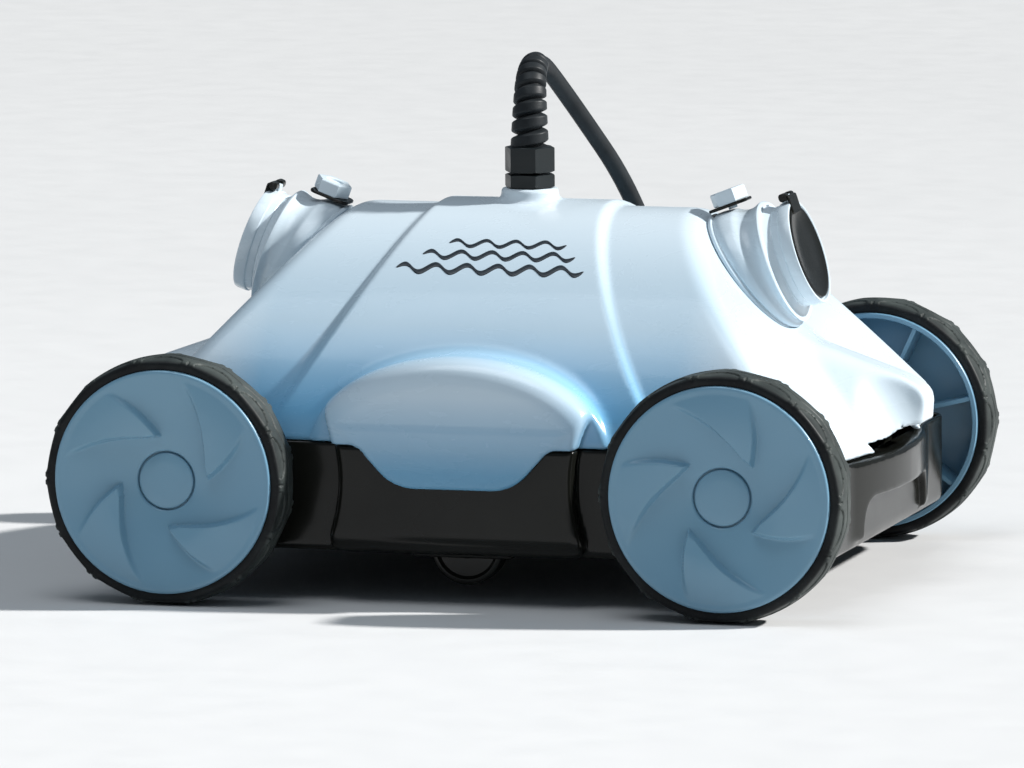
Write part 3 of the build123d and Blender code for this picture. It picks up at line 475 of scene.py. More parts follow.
def skin(field, low, high, pitch):
    """Surface-net mesh of field = 0, which is even in X and Y, so a quarter is sampled."""
    counts = [int(np.ceil(h / pitch)) for h in (high[0], high[1])]
    xs = (np.arange(counts[0] + 1) + 0.5) * pitch
    ys = (np.arange(counts[1] + 1) + 0.5) * pitch
    zs = np.arange(low, high[2] + pitch, pitch)
    quarter = field(*np.meshgrid(xs, ys, zs, indexing="ij"))
    half = np.concatenate([quarter[::-1], quarter], 0)
    values = np.concatenate([half[:, ::-1], half], 1)
    origin = np.array([-xs[-1], -ys[-1], zs[0]])
    inside = values < 0
    shape = np.array(values.shape) - 1
    total, count = np.zeros((*shape, 3)), np.zeros(shape)
    offsets = [(i, j, k) for i in (0, 1) for j in (0, 1) for k in (0, 1)]

    def corner(array, o):
        return array[o[0]:o[0] + shape[0], o[1]:o[1] + shape[1], o[2]:o[2] + shape[2]]

    for a in offsets:
        for axis in range(3):
            if a[axis]:
                continue
            b = tuple(1 if n == axis else v for n, v in enumerate(a))
            cross = corner(inside, a) != corner(inside, b)
            va, vb = corner(values, a)[cross], corner(values, b)[cross]
            share = va / (va - vb)
            point = np.tile(np.array(a, float), (len(share), 1))
            point[:, axis] += share
            total[cross] += point
            count[cross] += 1
    used = count > 0
    number = np.full(shape, -1)
    number[used] = np.arange(used.sum())
    points = origin + (np.argwhere(used) + total[used] / count[used][:, None]) * pitch
    faces = []
    for axis in range(3):
        first = [slice(1, -1)] * 3
        second = [slice(1, -1)] * 3
        first[axis], second[axis] = slice(0, -1), slice(1, None)
        start, end = inside[tuple(first)], inside[tuple(second)]
        where = np.argwhere(start != end) + [0 if n == axis else 1 for n in range(3)]
        outward = start[tuple(np.argwhere(start != end).T)]
        one, two = [n for n in range(3) if n != axis]
        ring = []
        for du, dv in ((0, 0), (1, 0), (1, 1), (0, 1)):
            cell = where.copy()
            cell[:, one] -= 1 - du
            cell[:, two] -= 1 - dv
            ring.append(number[tuple(cell.T)])
        quads = np.stack(ring, 1)
        turn = outward if axis != 1 else ~outward
        quads[~turn] = quads[~turn][:, ::-1]
        faces.append(quads)
    faces = np.concatenate(faces)
    return drawn_on(field, points, 0.35 * pitch), faces


def drawn_on(field, points, reach):
    """Move points onto field = 0 along its slope, by up to reach in each of three steps."""
    def even(place):
        return field(np.abs(place[:, 0]), np.abs(place[:, 1]), place[:, 2])

    nudge = 0.2
    for _ in range(3):
        slope = np.stack([(even(points + nudge * axis) - even(points - nudge * axis)) / (2 * nudge)
                          for axis in np.eye(3)], 1)
        size = np.maximum((slope ** 2).sum(1), 0.25)
        move = -slope * (even(points) / size)[:, None]
        length = np.maximum(np.linalg.norm(move, axis=1), 1e-9)
        points = points + move * np.minimum(1, reach / length)[:, None]
    return points


def slab(u, low, high):
    return np.maximum(low - u, u - high)


# ---- hood ----
SEAT_RISE, SEAT_RUN = sin(radians(seat_tilt)), cos(radians(seat_tilt))


def seat_coords(x, y, z):
    """Radius from the nozzle's swivel axis, and distance outwards from its seat."""
    out = SEAT_RUN * (x - seat_x) + SEAT_RISE * (z - seat_z)
    across = -SEAT_RISE * (x - seat_x) + SEAT_RUN * (z - seat_z)
    return np.hypot(across, y), out


def hood_skin(x, y, z, inset=0.0):
    """Outer surface of the hood, carried on below its rim; inset moves the seam inwards."""
    yc = np.minimum(y, 146)
    crown = crown_z - 0.00475 * yc ** 2 - 23 * (yc / side_half_y) ** 12
    steep = -0.0095 * yc - 23 * 12 / side_half_y * (yc / side_half_y) ** 11
    side = (z - crown) / np.sqrt(1 + steep ** 2)
    t = np.clip(191.7 - z, -6.3, 120)
    seam = 49.9 + 0.47 * t + 0.0008 * t * t
    side = side + 3.2 * step(x - seam + inset, 5)
    side = smax(side, y - 139.4, 1)
    upper = 0.8 * x + 0.6 * z - 193.5
    lower = (x + z - skirt_sum) / 2 ** 0.5
    body = smax(side, smin(upper, lower, 10), 8)
    body = smax(body, smax(x - 199.4, 0.985 * x + 0.17 * y - 205.3, 3), 3)
    ellipse = np.hypot(x / bulge_half_x, (z - rim_z) / bulge_height)
    slope = np.hypot(x / bulge_half_x ** 2, (z - rim_z) / bulge_height ** 2)
    dome = smax(ellipse * (ellipse - 1) / np.maximum(slope, 1e-4), y - bulge_y, 15)
    arch = np.hypot(x - wheel_x, z - wheel_r)
    dome = smax(dome, -smax(arch - wheel_arch_r, 140.5 - y, 2), 3)
    body = smin(body, dome, 5)
    ridge = smax(0.331 * x + 0.944 * z - 171.3, 0.707 * (x + z) - 225.6, 5)
    nose = smax(x - 218.9, 0.985 * x - 0.174 * z - 198.9, 4)
    flank = 0.228 * x + 0.723 * y + 0.652 * z - 130.1
    scoop = (34 - np.hypot(x + 0.65 * (z - 80) - 230, y - 45)) / 1.15
    beak = smax(smax(smax(ridge, nose, 5), flank, 8), scoop, 2.5)
    body = smin(body, beak, 7)
    boss = smax(np.hypot(x, y) - 15.4 + 0.13 * (z - 200), z - 204, 1.2)
    return smin(body, boss, 3)


def hood_field(x, y, z):
    skin_at = hood_skin(x, y, z)
    beak_rim = smax(z - 85.4, (z - 78.6 - 0.45 * (27 - y)) / 1.1, 2)
    notch = smax(smin(z - 78.6, beak_rim, 2), y - 49.5, 1)
    below_rim = np.where(x > skirt_start_x, smin(notch, z - 74, 1), z - rim_z)
    shell = smax(skin_at, -(hood_skin(x, y, z, 3.5) + hood_wall), 0.8)
    shell = smax(shell, -below_rim, 1.8)
    tab = smax(0.74 * x - 0.673 * z + 18.05, 62 - z, 9)
    tab = smax(tab, slab(y, 149.7, 153), 1.5)
    tab = np.maximum(tab, z - 92)
    shell = smin(shell, tab, 3)
    radius, out = seat_coords(x, y, z)
    socket = smax(slab(radius, 31.8, 35.2), slab(out, -14, 0), 1)
    shell = smin(shell, socket, 1.5)
    shell = smax(shell, -smax(radius - 31.7, slab(out, -40, 12), 0.5), 0.8)
    hole = np.maximum(np.hypot(x, y) - 10.1, 150 - z)
    return np.maximum(shell, -hole)


def make_hood():
    shell = skin(hood_field, 58, (224, 158, 208), hood_pitch)
    add_mesh("hood_shell", shell, "hood_plastic", "body", ["hood"])


def on_side(x, y, lift):
    """Height of the hood's front face at x and y = -|y|, raised by lift."""
    low, high = np.full(np.shape(x), 60.0), np.full(np.shape(x), 210.0)
    for _ in range(40):
        middle = (low + high) / 2
        above = hood_skin(np.abs(x), np.abs(y), middle) > lift
        low, high = np.where(above, low, middle), np.where(above, middle, high)
    return (low + high) / 2


def make_mark():
    """Three waves in dark ink on the front face: a plain pictogram of water."""
    section = ((-1, -0.15), (-1, 0.18), (-0.5, 0.26), (0, 0.28), (0.5, 0.26), (1, 0.18), (1, -0.15))
    parts = []
    for y_row, x_from, x_to, width in ((-61, -27, 37, 3.4), (-69.5, -39, 44, 3.6), (-78.5, -51, 51, 3.8)):
        u = np.linspace(0, 1, 160)
        x = x_from + (x_to - x_from) * u
        phase = 2 * pi * round((x_to - x_from) / 17) * u
        swing = 2.3 * np.sin(phase)
        taper = np.minimum(1, np.sin(pi * u) * 7) ** 0.5
        half = width / 2 * taper * (0.72 + 0.28 * np.cos(phase))
        rings = []
        for across, lift in section:
            y = y_row + swing + half * across
            rings.append(np.column_stack([x, y, on_side(x, y, lift)]))
        parts.append((np.concatenate(rings), grid_faces(len(rings), len(u))))
    add_mesh("wave_mark", joined(*parts), "mark_ink", "body")


# ---- tray ----
def tray_field(x, y, z):
    outer = smax(y - side_half_y + 0.3, x - tray_half_x, 22)
    band = smax(x - bumper_x, 0.961 * x + 0.2756 * y - 210.5, 12)
    band = smax(band, slab(z, 30.5, bumper_top_z), 4)
    grip = smax(y - grip_half_y, z - grip_top_z, 18)
    band = smax(band, -np.maximum(grip, tray_half_x + 0.5 - x), 2.5)
    band = np.maximum(band, 180 - x)
    arch = np.hypot(x - wheel_x, z - wheel_r)
    pod = smax(y - pod_y + 0.1, wheel_arch_r - arch, 5)
    pod = np.maximum(pod, x - 92)
    body = smin(smin(smax(outer, tray_low_z - z, 5), smax(pod, tray_low_z - z, 14), 1), band, 2)
    top = np.where(x > skirt_start_x, bumper_top_z, rim_z - 0.3)
    body = smax(body, z - top, 1.5)
    inner = smax(y - side_half_y + 0.3 + tray_wall, x - tray_half_x + tray_wall, 18)
    hollow = smax(inner, floor_z + tray_wall - z, 2)
    pod_hollow = smax(y - pod_y + 0.1 + tray_wall, wheel_arch_r + tray_wall - arch, 4)
    pod_hollow = smax(pod_hollow, floor_z + tray_wall - z, 2)
    pod_hollow = np.maximum(pod_hollow, np.maximum(x - 92, 130 - y))
    body = smax(body, -smin(hollow, pod_hollow, 1), 1)
    body = smax(body, -smax(inner, z - floor_z, 1), 1)
    body = smax(body, -smax(smax(x - 150, y - 95, 8), slab(z, 20, 40), 1), 1)
    dam = smax(slab(x, 182.5, 185.5), smax(y - 61, slab(z, floor_z, 81.5), 1), 1)
    boss = np.maximum(arch - 12, slab(y, 125, 146))
    housing = smax(smax(x - 27, slab(y, 106, 134), 2), slab(z, 24, 56), 1)
    body = smin(smin(smin(body, dam, 1), boss, 1), housing, 1)
    pocket = np.maximum(np.maximum(x - 22, slab(y, 113.3, 126.7)), slab(z, 15, 51))
    axle = np.maximum(arch - 6.1, slab(y, 118, 160))
    body = np.maximum(np.maximum(body, -pocket), -axle)
    lug = np.hypot(x - 173, y)
    body = smin(body, smax(lug - 7, slab(z, 24.6, 33), 0.8), 1)
    return np.maximum(body, -np.maximum(lug - 3.1, slab(z, 20, 29.5)))


def make_tray():
    shell = skin(tray_field, 19, (212, 156, 90), tray_pitch)
    add_mesh("tray", shell, "tray_plastic", "body", ["chassis"])


# ---- wheels ----
def swirl(radius, angle, phase):
    """Height of the four raised petals on a wheel's face, 0 to 1."""
    t = np.clip((radius / rim_r - 0.4) / 0.53, 0, 1.05)
    lead, trail = 29 * t ** 0.75, 75 * t ** 0.42
    turn = (np.degrees(angle) - phase) % 90
    best = np.zeros(np.broadcast(radius, angle).shape)
    for wrap in (0, 90):
        inside = np.minimum(turn + wrap - lead, trail - turn - wrap) * radius * pi / 180
        best = np.maximum(best, step(inside - 0.3, 2.3))
    tip = step(radius - 0.4 * rim_r - 0.5, 2.0)
    return best * tip * (1 - np.clip((t - 0.25) / 0.75, 0, 1) ** 1.6)


def make_wheel(name, x, side, phase):
    place = placed((x, 0, wheel_r), (-side, 0, 0), (0, 0, 1), (0, side, 0))
    dish = np.linspace(cap_r + 1.1, 54.5, 56)
    face_radii = np.concatenate([[cap_r + 0.55], dish, [55.8, 56.8, 57.7, 58.2]])
    slope = np.clip((face_radii - cap_r) / (56 - cap_r), 0, 1)
    face_height = dish_y + 8.1 * slope ** 0.85
    face_height[0] -= 0.55
    face_height[-3:] = (178.7, 178.55, 178.2)
    front = list(zip(face_radii, face_height))
    back = [(rim_r, 177.6), (rim_r, 149.6), (58, 149), (56, 149), (55.5, 149.6), (55.5, 173.6), (54, 174.6),
            (40, 171.2), (17.6, 166.8), (15.4, 164.5), (15, 150.2), (14.2, 149), (7.2, 149), (6.1, 149.8),
            (6.1, 159.6), (11, 159.7), (11, 168.3), (15.5, 168.4)]
    profile = front + back

    def relief(radius, advance, angle):
        raised = 5.2 * swirl(radius, angle, phase)
        on_face = np.zeros(len(profile))
        on_face[1:len(front) - 4] = 1
        return radius + 0 * angle, advance + raised * on_face[:, None]

    parts = [turned(profile, place, 288, relief)]
    for rib in range(7):
        turn = radians(-39.3 + 360 / 7 * rib)
        across, up = np.array([cos(turn), sin(turn)]), np.array([-sin(turn), cos(turn)])
        corners = rounded_path(rectangle(16, -1.1, 55.7, 1.1), 0.4, 3)
        outline = corners[:, :1] * across + corners[:, 1:] * up
        parts.append(prism(outline, place, 151.5, 171.0, 0.5))
    add_mesh(f"hub_{name}", joined(*parts), "wheel_plastic", f"wheel_{name}", [f"wheel_hub_{name}"], 40)
    cap_profile = [(0.01, 166.4), (10.6, 166.4), (10.9, 166.8), (10.9, 168.5), (14.2, 168.6), (14.6, 168.9),
                   (14.65, 170.0), (14.3, 170.5), (13.7, 170.75), (8, 170.95), (0.01, 171.0)]
    add_mesh(f"cap_{name}", turned(cap_profile, place, 96), "wheel_plastic", f"wheel_{name}",
             [f"hub_cap_{name}"], 40)
    make_tyre(name, place)


def make_tyre(name, place):
    """Square tyre whose shoulders carry D-shaped hollows, with a zigzag split round the tread."""
    steps, lugs, middle_w = 784, 14, 163.75
    inner = [(150.6, 59.8), (150.6, 61.6), (150.7, 63.2), (151.3, 64.2)]
    tread = [(w, 64.5 + 0.5 * (1 - ((w - middle_w) / 12.2) ** 2)) for w in np.linspace(152.2, 175.3, 44)]
    outer = [(176.2, 64.2), (176.8, 63.2), (176.9, 61.6), (176.9, 59.8)]
    outline = [(r, w) for w, r in inner + tread + outer + [(176.6, rim_r + 0.1), (150.9, rim_r + 0.1)]]
    open_rows = len(inner + tread + outer)

    def relief(radius, advance, angle):
        turn = angle / (2 * pi) * lugs
        out = np.abs(advance - middle_w)
        u = 2 * ((turn + np.where(advance > middle_w, 0.0, 0.5)) % 1.0) - 1
        reach = np.sqrt(np.maximum(0, 1 - (u / 0.78) ** 2))
        edge = 13.15 - 8.2 * reach
        inside = np.clip((out - edge) / 0.5, 0, 1) * (reach > 0)
        hollow = inside * (0.6 + 0.7 * np.clip((out - edge) / 8.2, 0, 1))
        line = 1 - np.clip(np.abs(out - edge) / 0.6, 0, 1)
        hollow = np.maximum(hollow, 1.5 * line * (reach > 0))
        split = 1 - np.clip((np.minimum(1 - np.abs(u), 1) * pi * 64 / lugs - 0.35) / 0.6, 0, 1)
        hollow = np.maximum(hollow, 1.0 * split * (out > 9.5))
        zigzag = 2.2 * (np.abs(2 * (turn % 1.0) - 1) * 2 - 1)
        middle = 1 - np.clip((np.abs(advance - middle_w - zigzag) - 0.25) / 0.6, 0, 1)
        hollow = np.maximum(hollow, 0.9 * middle)
        open_row = (np.arange(len(outline)) < open_rows)[:, None]
        floor = np.where(radius < 61, radius, 61.0)
        return np.where(open_row, np.maximum(radius - hollow, floor), radius) + 0 * angle, advance + 0 * angle

    add_mesh(f"tread_{name}", turned(outline, place, steps, relief), "tyre_rubber",
             f"wheel_{name}", [f"tyre_{name}"], 50)


# ---- jet nozzles ----
def station(end, x, z, tilt):
    """Local axes of a tilted circle at one end: across, up and outwards."""
    rise, run = sin(radians(tilt)), cos(radians(tilt))
    return placed((end * x, 0, z), (0, end, 0), (-end * rise, 0, run), (end * run, 0, rise))


def make_nozzle(name, end):
    """Bands of the swivelling nozzle: circles that fan out from the seat to the mouth."""
    steps = 144
    angle = np.linspace(0, 2 * pi, steps, endpoint=False)

    def ring(x, z, tilt, radius, out=0.0):
        circle = np.stack([radius * np.cos(angle), radius * np.sin(angle), np.full(steps, out)], 1)
        return station(end, x, z, tilt)(circle)

    def seat_ring(radius, out):
        return ring(seat_x, seat_z, seat_tilt, radius, out)

    def neck_ring(radius, out):
        return ring(neck_x, neck_z, neck_tilt, radius, out)

    def fan(share, radius):
        """A circle between the flange and the collar."""
        x = seat_x + 2.6 + (139.4 - seat_x - 2.6) * share
        z = seat_z + 1.9 + (168.1 - seat_z - 1.9) * share
        return ring(x, z, seat_tilt + (21.0 - seat_tilt) * share, radius)

    rings = [seat_ring(27, -8), seat_ring(31, -8), seat_ring(31.4, -7.6), seat_ring(31.4, -6.1),
             seat_ring(29.9, -6.1), seat_ring(29.9, -3.9), seat_ring(31.4, -3.9), seat_ring(31.4, 0.4),
             seat_ring(36.9, 0.4), seat_ring(37.4, 0.8), seat_ring(37.45, 2.2), seat_ring(37.0, 2.7),
             seat_ring(36.3, 2.75), fan(0.0, 36.0), fan(0.06, 36.5), fan(0.2, 36.2), fan(0.36, 35.4),
             fan(0.42, 34.9), fan(0.47, 33.9), fan(0.56, 32.7), fan(0.66, 32.0), fan(0.76, 32.0),
             fan(0.86, 32.7), fan(0.93, 33.5), fan(0.97, 33.7), fan(1.0, 33.4), fan(1.03, 32.6),
             fan(1.02, 30.6),
             neck_ring(27.2, 0.2), neck_ring(27.0, 0.8), neck_ring(27.3, 1.2), neck_ring(27.5, 4.6),
             neck_ring(28.2, 5.2), neck_ring(28.35, 6.0), neck_ring(28.35, 10.6), neck_ring(28.1, 11.3),
             neck_ring(27.6, mouth_length), neck_ring(27.0, 11.4), neck_ring(26.7, 11.0),
             neck_ring(26.6, 9.6), neck_ring(24.4, 9.5), neck_ring(outlet_r, 9.1), neck_ring(outlet_r, 0),
             seat_ring(27.4, 3.9)]
    parts = [(np.concatenate(rings), grid_faces(len(rings), steps, True, True))]
    mouth = station(end, neck_x, neck_z, neck_tilt)
    lug = rounded_path(rectangle(-lug_half_w, 26.2, lug_half_w, 31.9), 1.0, 4)
    parts.append(prism(lug, mouth, 6.0, mouth_length - 0.9, 0.4))
    add_mesh(f"jet_nozzle_{name}", joined(*parts), "hood_plastic", f"nozzle_{name}", [f"nozzle_{name}"], 32)


def make_outlet_flap(name, end):
    """Glossy black disc with a rolled hinge along its top."""
    place = station(end, neck_x, neck_z, neck_tilt)
    disc = [(0.01, 9.85), (24.6, 9.85), (25.3, 10.2), (25.45, 10.9), (25.0, 11.4), (23.6, 11.55),
            (22.6, 11.25), (12, 11.15), (0.01, 11.3)]
    parts = [turned(disc, place, 96)]
    hinge_out, hinge_up = mouth_length - 3.0, 31.0
    barrel = rounded_path(rectangle(-2.2, -2.2, 2.4, 2.2), 2.1, 6)
    rise, run = sin(radians(neck_tilt)), cos(radians(neck_tilt))
    centre = place([(0, hinge_up, hinge_out)])[0]
    across = placed(centre, (end * run, 0, rise), (-end * rise, 0, run), (0, end, 0))
    parts += [prism(barrel, across, low, high, 0.4) for low, high in ((-8.4, -3.0), (3.0, 8.4))]
    parts.append(prism(circle(1.15, 24), across, -8.6, 8.6, 0.2))
    arm = rounded_path(rectangle(-8.2, 21, 8.2, 31.6), 1.6, 4)
    parts.append(prism(arm, place, 10.7, 12.1, 0.5))
    add_mesh(f"flap_{name}", joined(*parts), "tray_plastic", f"outlet_flap_{name}",
             [f"outlet_flap_{name}"], 35)


def knob_place(end):
    tilt = radians(20.6)
    return placed((end * 110.3, 0, 198.3), (0, end, 0), (end * cos(tilt), 0, sin(tilt)),
                  (-end * sin(tilt), 0, cos(tilt)))


def make_lock(name, end):
    """Hexagonal lock knob with a dimple, on the thin tongue that carries it."""
    apothem = 8.6

    def hexed(radius, advance, angle):
        reach = cos(pi / 6) / np.cos((angle + pi / 6) % (pi / 3) - pi / 6)
        corner = 1 + (reach - 1) * np.clip((radius - 5.2) / 1.5, 0, 1)
        return radius * corner, advance + 0 * angle

    profile = [(0.01, 0.15), (apothem / cos(pi / 6) - 0.5, 0.15), (apothem / cos(pi / 6), 0.6),
               (apothem / cos(pi / 6), 6.7), (apothem / cos(pi / 6) - 0.5, 7.3), (apothem - 0.4, 7.45),
               (5.2, 7.45), (4.6, 7.1), (4.2, 6.2), (0.01, 5.9)]
    place = knob_place(end)
    parts = [turned(profile, place, 144, hexed)]
    parts.append(prism(circle(2.45, 32), place, -3.1, 0.4, 0.2))
    add_mesh(f"knob_{name}", joined(*parts), "hood_plastic", f"lock_knob_{name}", [f"lock_knob_{name}"], 30)


def make_tongues():
    parts = []
    for _, end in ENDS:
        outline = rounded_path(rectangle(-tongue_half_w, -11.9, tongue_half_w, 9.9), 4, 8)
        parts.append(prism(outline, knob_place(end), -1.7, 0.0, 0.4))
    add_mesh("tongues", joined(*parts), NODE_SLOT["lock_tongues"], "body", ["lock_tongues"], 35)


# ---- gland ----
def hexagon(apothem, chamfer, top, bottom):
    """Relief that turns a round profile into a hexagon whose rims are chamfered round."""
    def relief(radius, advance, angle):
        reach = 1 / np.cos((angle + pi / 6) % (pi / 3) - pi / 6)
        outer = radius > apothem - 0.01
        hexed = np.where(outer, radius * reach, radius + 0 * angle)
        past = np.maximum(hexed - apothem * 1.045, 0) * chamfer * outer
        high, low = np.minimum(advance, top - past), np.maximum(advance, bottom + past)
        return hexed, np.where(advance > (top + bottom) / 2, high, low)
    return relief


def make_gland():
    turn = radians(28)
    place = placed((0, 0, 0), (cos(turn), sin(turn), 0), (-sin(turn), cos(turn), 0), (0, 0, 1))
    apothem = 11.95
    lower = [(cable_r + 0.1, 192), (9.9, 192), (9.9, 204.1), (apothem - 0.4, 204.1), (apothem, 204.4),
             (apothem, 205.4), (apothem, 210), (apothem, 211.2), (apothem - 0.5, 211.6), (9.6, 211.6),
             (9.6, 221.8), (cable_r + 0.1, 221.8)]
    add_mesh("gland_base", turned(lower, place, 144, hexagon(apothem, 0.55, 211.4, 204.2)),
             "gland_plastic", "body", ["gland_body"], 28)
    upper = [(10.05, 212.3), (apothem - 0.5, 212.3), (apothem, 212.6), (apothem, 213.6), (apothem, 224),
             (apothem, 225.5), (apothem - 0.5, 226.0), (10.9, 226.2), (10.5, 226.6), (10.5, 230.6),
             (10.1, 231.4), (9.6, 231.7), (7.6, 231.7), (7.5, 223), (10.05, 223)]
    add_mesh("gland_cap_nut", turned(upper, place, 144, hexagon(apothem, 0.55, 225.9, 212.4)),
             "gland_plastic", "body", ["gland_nut"], 28)


# ---- cable ----
cable_route = [
    (0, 0, 222), (0, 0, 248), (-3, 15, 266), (-5, 40, 268), (-1, 64, 252), (8, 86, 229),
    (19, 111, 201), (27, 136, 167), (31, 160, 130), (31, 178, 90), (31, 190, 50),
    (31, 212, 14), (31, 248, 4.75), (31, 290, 6.35),
]


def coil_turns():
    """Points of the wound turns: five columns, wound in and out in layers, then up to the plug."""
    columns = [0, 1, 2, 3, 4, 4, 3, 2, 1, 0, 0, 1, 2, 3, 4, 4, 3, 2, 2]
    per_turn, entry_angle = 18, -5.44
    outer_r, column_step, layer_step, first_z = 105.5, 9.65, 9.55, 6.35
    rise_from, rise_to = 17.42, 17.70
    points = []
    for i in range(1, int(rise_to * per_turn)):
        turns = i / per_turn
        n, u = int(turns), turns % 1
        shift = step(u - 11 / 12, 1 / 6)
        climb = step(u - 9 / 12, 1 / 6)
        column = columns[n] + (columns[n + 1] - columns[n]) * shift
        layer = n // 5 + ((n + 1) // 5 - n // 5) * climb
        radius = outer_r - column_step * column
        angle = radians(entry_angle + 360 * turns)
        lift = 17.3 * step(turns - (rise_from + rise_to) / 2, rise_to - rise_from)
        points.append((coil_x + radius * cos(angle), coil_y + radius * sin(angle),
                       first_z + layer_step * layer + lift))
    return points


def make_cable():
    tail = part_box("connector")[0].x / MM
    plug_y = coil_y - coil_mean_r
    into_plug = [(tail - 7, plug_y + 0.4, plug_z), (tail + 3, plug_y, plug_z), (tail + 9, plug_y, plug_z)]
    route = cable_route + coil_turns() + into_plug
    data = bpy.data.curves.new("supply_cable", "CURVE")
    data.dimensions = "3D"
    spline = data.splines.new("NURBS")
    spline.points.add(len(route) - 1)
    for point, place in zip(spline.points, route):
        point.co = (*(v * MM for v in place), 1)
    spline.order_u = 3
    spline.use_endpoint_u = True
    data.resolution_u = 6
    data.bevel_depth = cable_r * MM
    data.bevel_resolution = 6
    data.use_fill_caps = True
    data.materials.append(MATERIALS["cable_jacket"].material)
    cable = bpy.data.objects.new("supply_cable", data)
    bpy.context.scene.collection.objects.link(cable)
    return settle(cable, "body", ["cable", "cable_coil"])


def centreline(cable):
    """Points along the cable's own spline."""
    bare = cable.data.copy()
    bare.bevel_depth = 0
    bare.resolution_u = 24
    probe = bpy.data.objects.new("probe", bare)
    mesh = bpy.data.meshes.new_from_object(probe)
    line = np.array([v.co for v in mesh.vertices], float) / MM
    bpy.data.meshes.remove(mesh)
    bpy.data.objects.remove(probe)
    bpy.data.curves.remove(bare)
    return line


def along_line(line, distances):
    """Positions and unit directions at these distances along a line."""
    run = np.concatenate([[0], np.cumsum(np.linalg.norm(np.diff(line, axis=0), axis=1))])

    def at(distance):
        return np.stack([np.interp(distance, run, line[:, k]) for k in range(3)], 1)

    ahead = at(distances + 0.5) - at(distances - 0.5)
    return at(distances), ahead / np.linalg.norm(ahead, axis=1)[:, None]


def make_relief(line):
    """Spiral boot: a helical rib wound on a tapering sleeve round the first bend."""
    start, end, around = 0.4, 63.0, 64
    distances = np.linspace(start, end, 330)
    places, ahead = along_line(line, distances)
    across = np.cross(ahead, np.cross((1, 0, 0), ahead))
    across /= np.linalg.norm(across, axis=1)[:, None]
    beside = np.cross(ahead, across)
    angle = np.linspace(0, 2 * pi, around, endpoint=False)
    s = (distances - start)[:, None]
    share = s / (end - start)
    pitch_a, pitch_b = 9.6, 5.4
    wound = s / pitch_a + share * s / 2 * (1 / pitch_b - 1 / pitch_a)
    rib = 0.5 + 0.5 * np.cos(2 * pi * wound - angle[None, :])
    crest = 10.4 - 3.4 * share
    root = 5.7 + 0.5 * share
    radius = root + (crest - root) * np.sqrt(1 - (1 - np.minimum(rib / 0.6, 1)) ** 2)
    collar = step(3.2 - s, 2.5)
    radius = radius * (1 - collar) + 10.6 * collar
    cap = np.clip((end - distances) / 5.0, 0, 1)[:, None] ** 0.5
    smooth_top = step(share - 0.9, 0.1)
    radius = radius * (1 - smooth_top) + 7.0 * smooth_top
    radius = cable_r + 0.15 + (radius - cable_r - 0.15) * cap
    spokes = np.cos(angle)[None, :, None] * across[:, None] + np.sin(angle)[None, :, None] * beside[:, None]
    outer = places[:, None] + radius[..., None] * spokes
    bore = (places[:, None] + (cable_r + 0.05) * spokes)[::-1][::11]
    points = np.concatenate([outer.reshape(-1, 3), bore.reshape(-1, 3)])
    shape = points, grid_faces(len(outer) + len(bore), around, True, True)
    return add_mesh("spiral_relief", shape, NODE_SLOT["strain_relief"], "body", ["strain_relief"])


def make_tie():
    """Strap round the coil, with its tongue overlapping."""
    middle_z = (coil_low_z + coil_high_z) / 2
    place = placed((coil_x, coil_y + coil_mean_r, middle_z), (0, 1, 0), (0, 0, 1), (1, 0, 0))
    half_w, half_h = coil_band + 1.6, (coil_high_z - coil_low_z) / 2 + 1.5
    rings = []
    for inset, along in ((0.9, -9), (0, -8.7), (0, 8.7), (0.9, 9), (1.3, 8.7), (1.3, -8.7)):
        w, h = half_w - inset, half_h - inset
        path = rounded_path(rectangle(-w, -h, w, h), 6 - inset, 10)
        rings.append(place(np.column_stack([path, np.full(len(path), along)])))
    parts = [(np.concatenate(rings), grid_faces(len(rings), len(rings[0]), True, True))]
    tongue = rounded_path(rectangle(-9, -8.2, 13, 8.2), 3, 6)
    lid = placed((coil_x, coil_y + coil_mean_r, coil_high_z), (0, 1, 0), (1, 0, 0), (0, 0, 1))
    parts.append(prism(tongue, lid, 1.2, 2.0, 0.2))
    return add_mesh("coil_strap", joined(*parts), NODE_SLOT["coil_tie"], "body", ["coil_tie"], 40)


def make_connector():
    """Round waterproof plug with a ribbed locking collar and four pins."""
    low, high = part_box("connector")
    place = placed((low.x / MM, coil_y - coil_mean_r, plug_z), (0, 1, 0), (0, 0, 1), (1, 0, 0))
    length = (high.x - low.x) / MM
    outline = [(cable_r + 0.1, 0.0), (6.4, 0.0), (7.0, 0.6), (7.3, 2.4), (6.6, 3.0), (7.7, 4.0), (8.0, 5.6),
               (7.2, 6.3), (8.4, 7.4), (8.8, 9.2), (8.0, 10.0), (9.4, 11.4), (9.9, 14.5), (9.9, 21.6),
               (11.6, 21.9), (12.3, 22.6), (12.4, 24.0), (12.4, 38.0), (12.3, 39.4), (11.6, 40.0),
               (9.9, 40.2), (9.9, length - 0.8), (9.4, length), (8.0, length), (7.6, length - 0.5),
               (7.6, length - 12), (cable_r + 0.1, length - 12)]

    def knurl(radius, advance, angle):
        grip = (advance > 23.5) & (advance < 38.5) & (radius > 12)
        return radius - 0.55 * grip * (0.5 - 0.5 * np.cos(24 * angle)) ** 2, advance + 0 * angle

    parts = [turned(outline, place, 192, knurl)]
    for centre in circle(4, 4):
        ring = np.array(circle(1, 16)) + centre
        parts.append(prism(ring, place, length - 12, length - 3.2, 0.25))
    return add_mesh("plug", joined(*parts), NODE_SLOT["connector"], "body", ["connector"], 35)


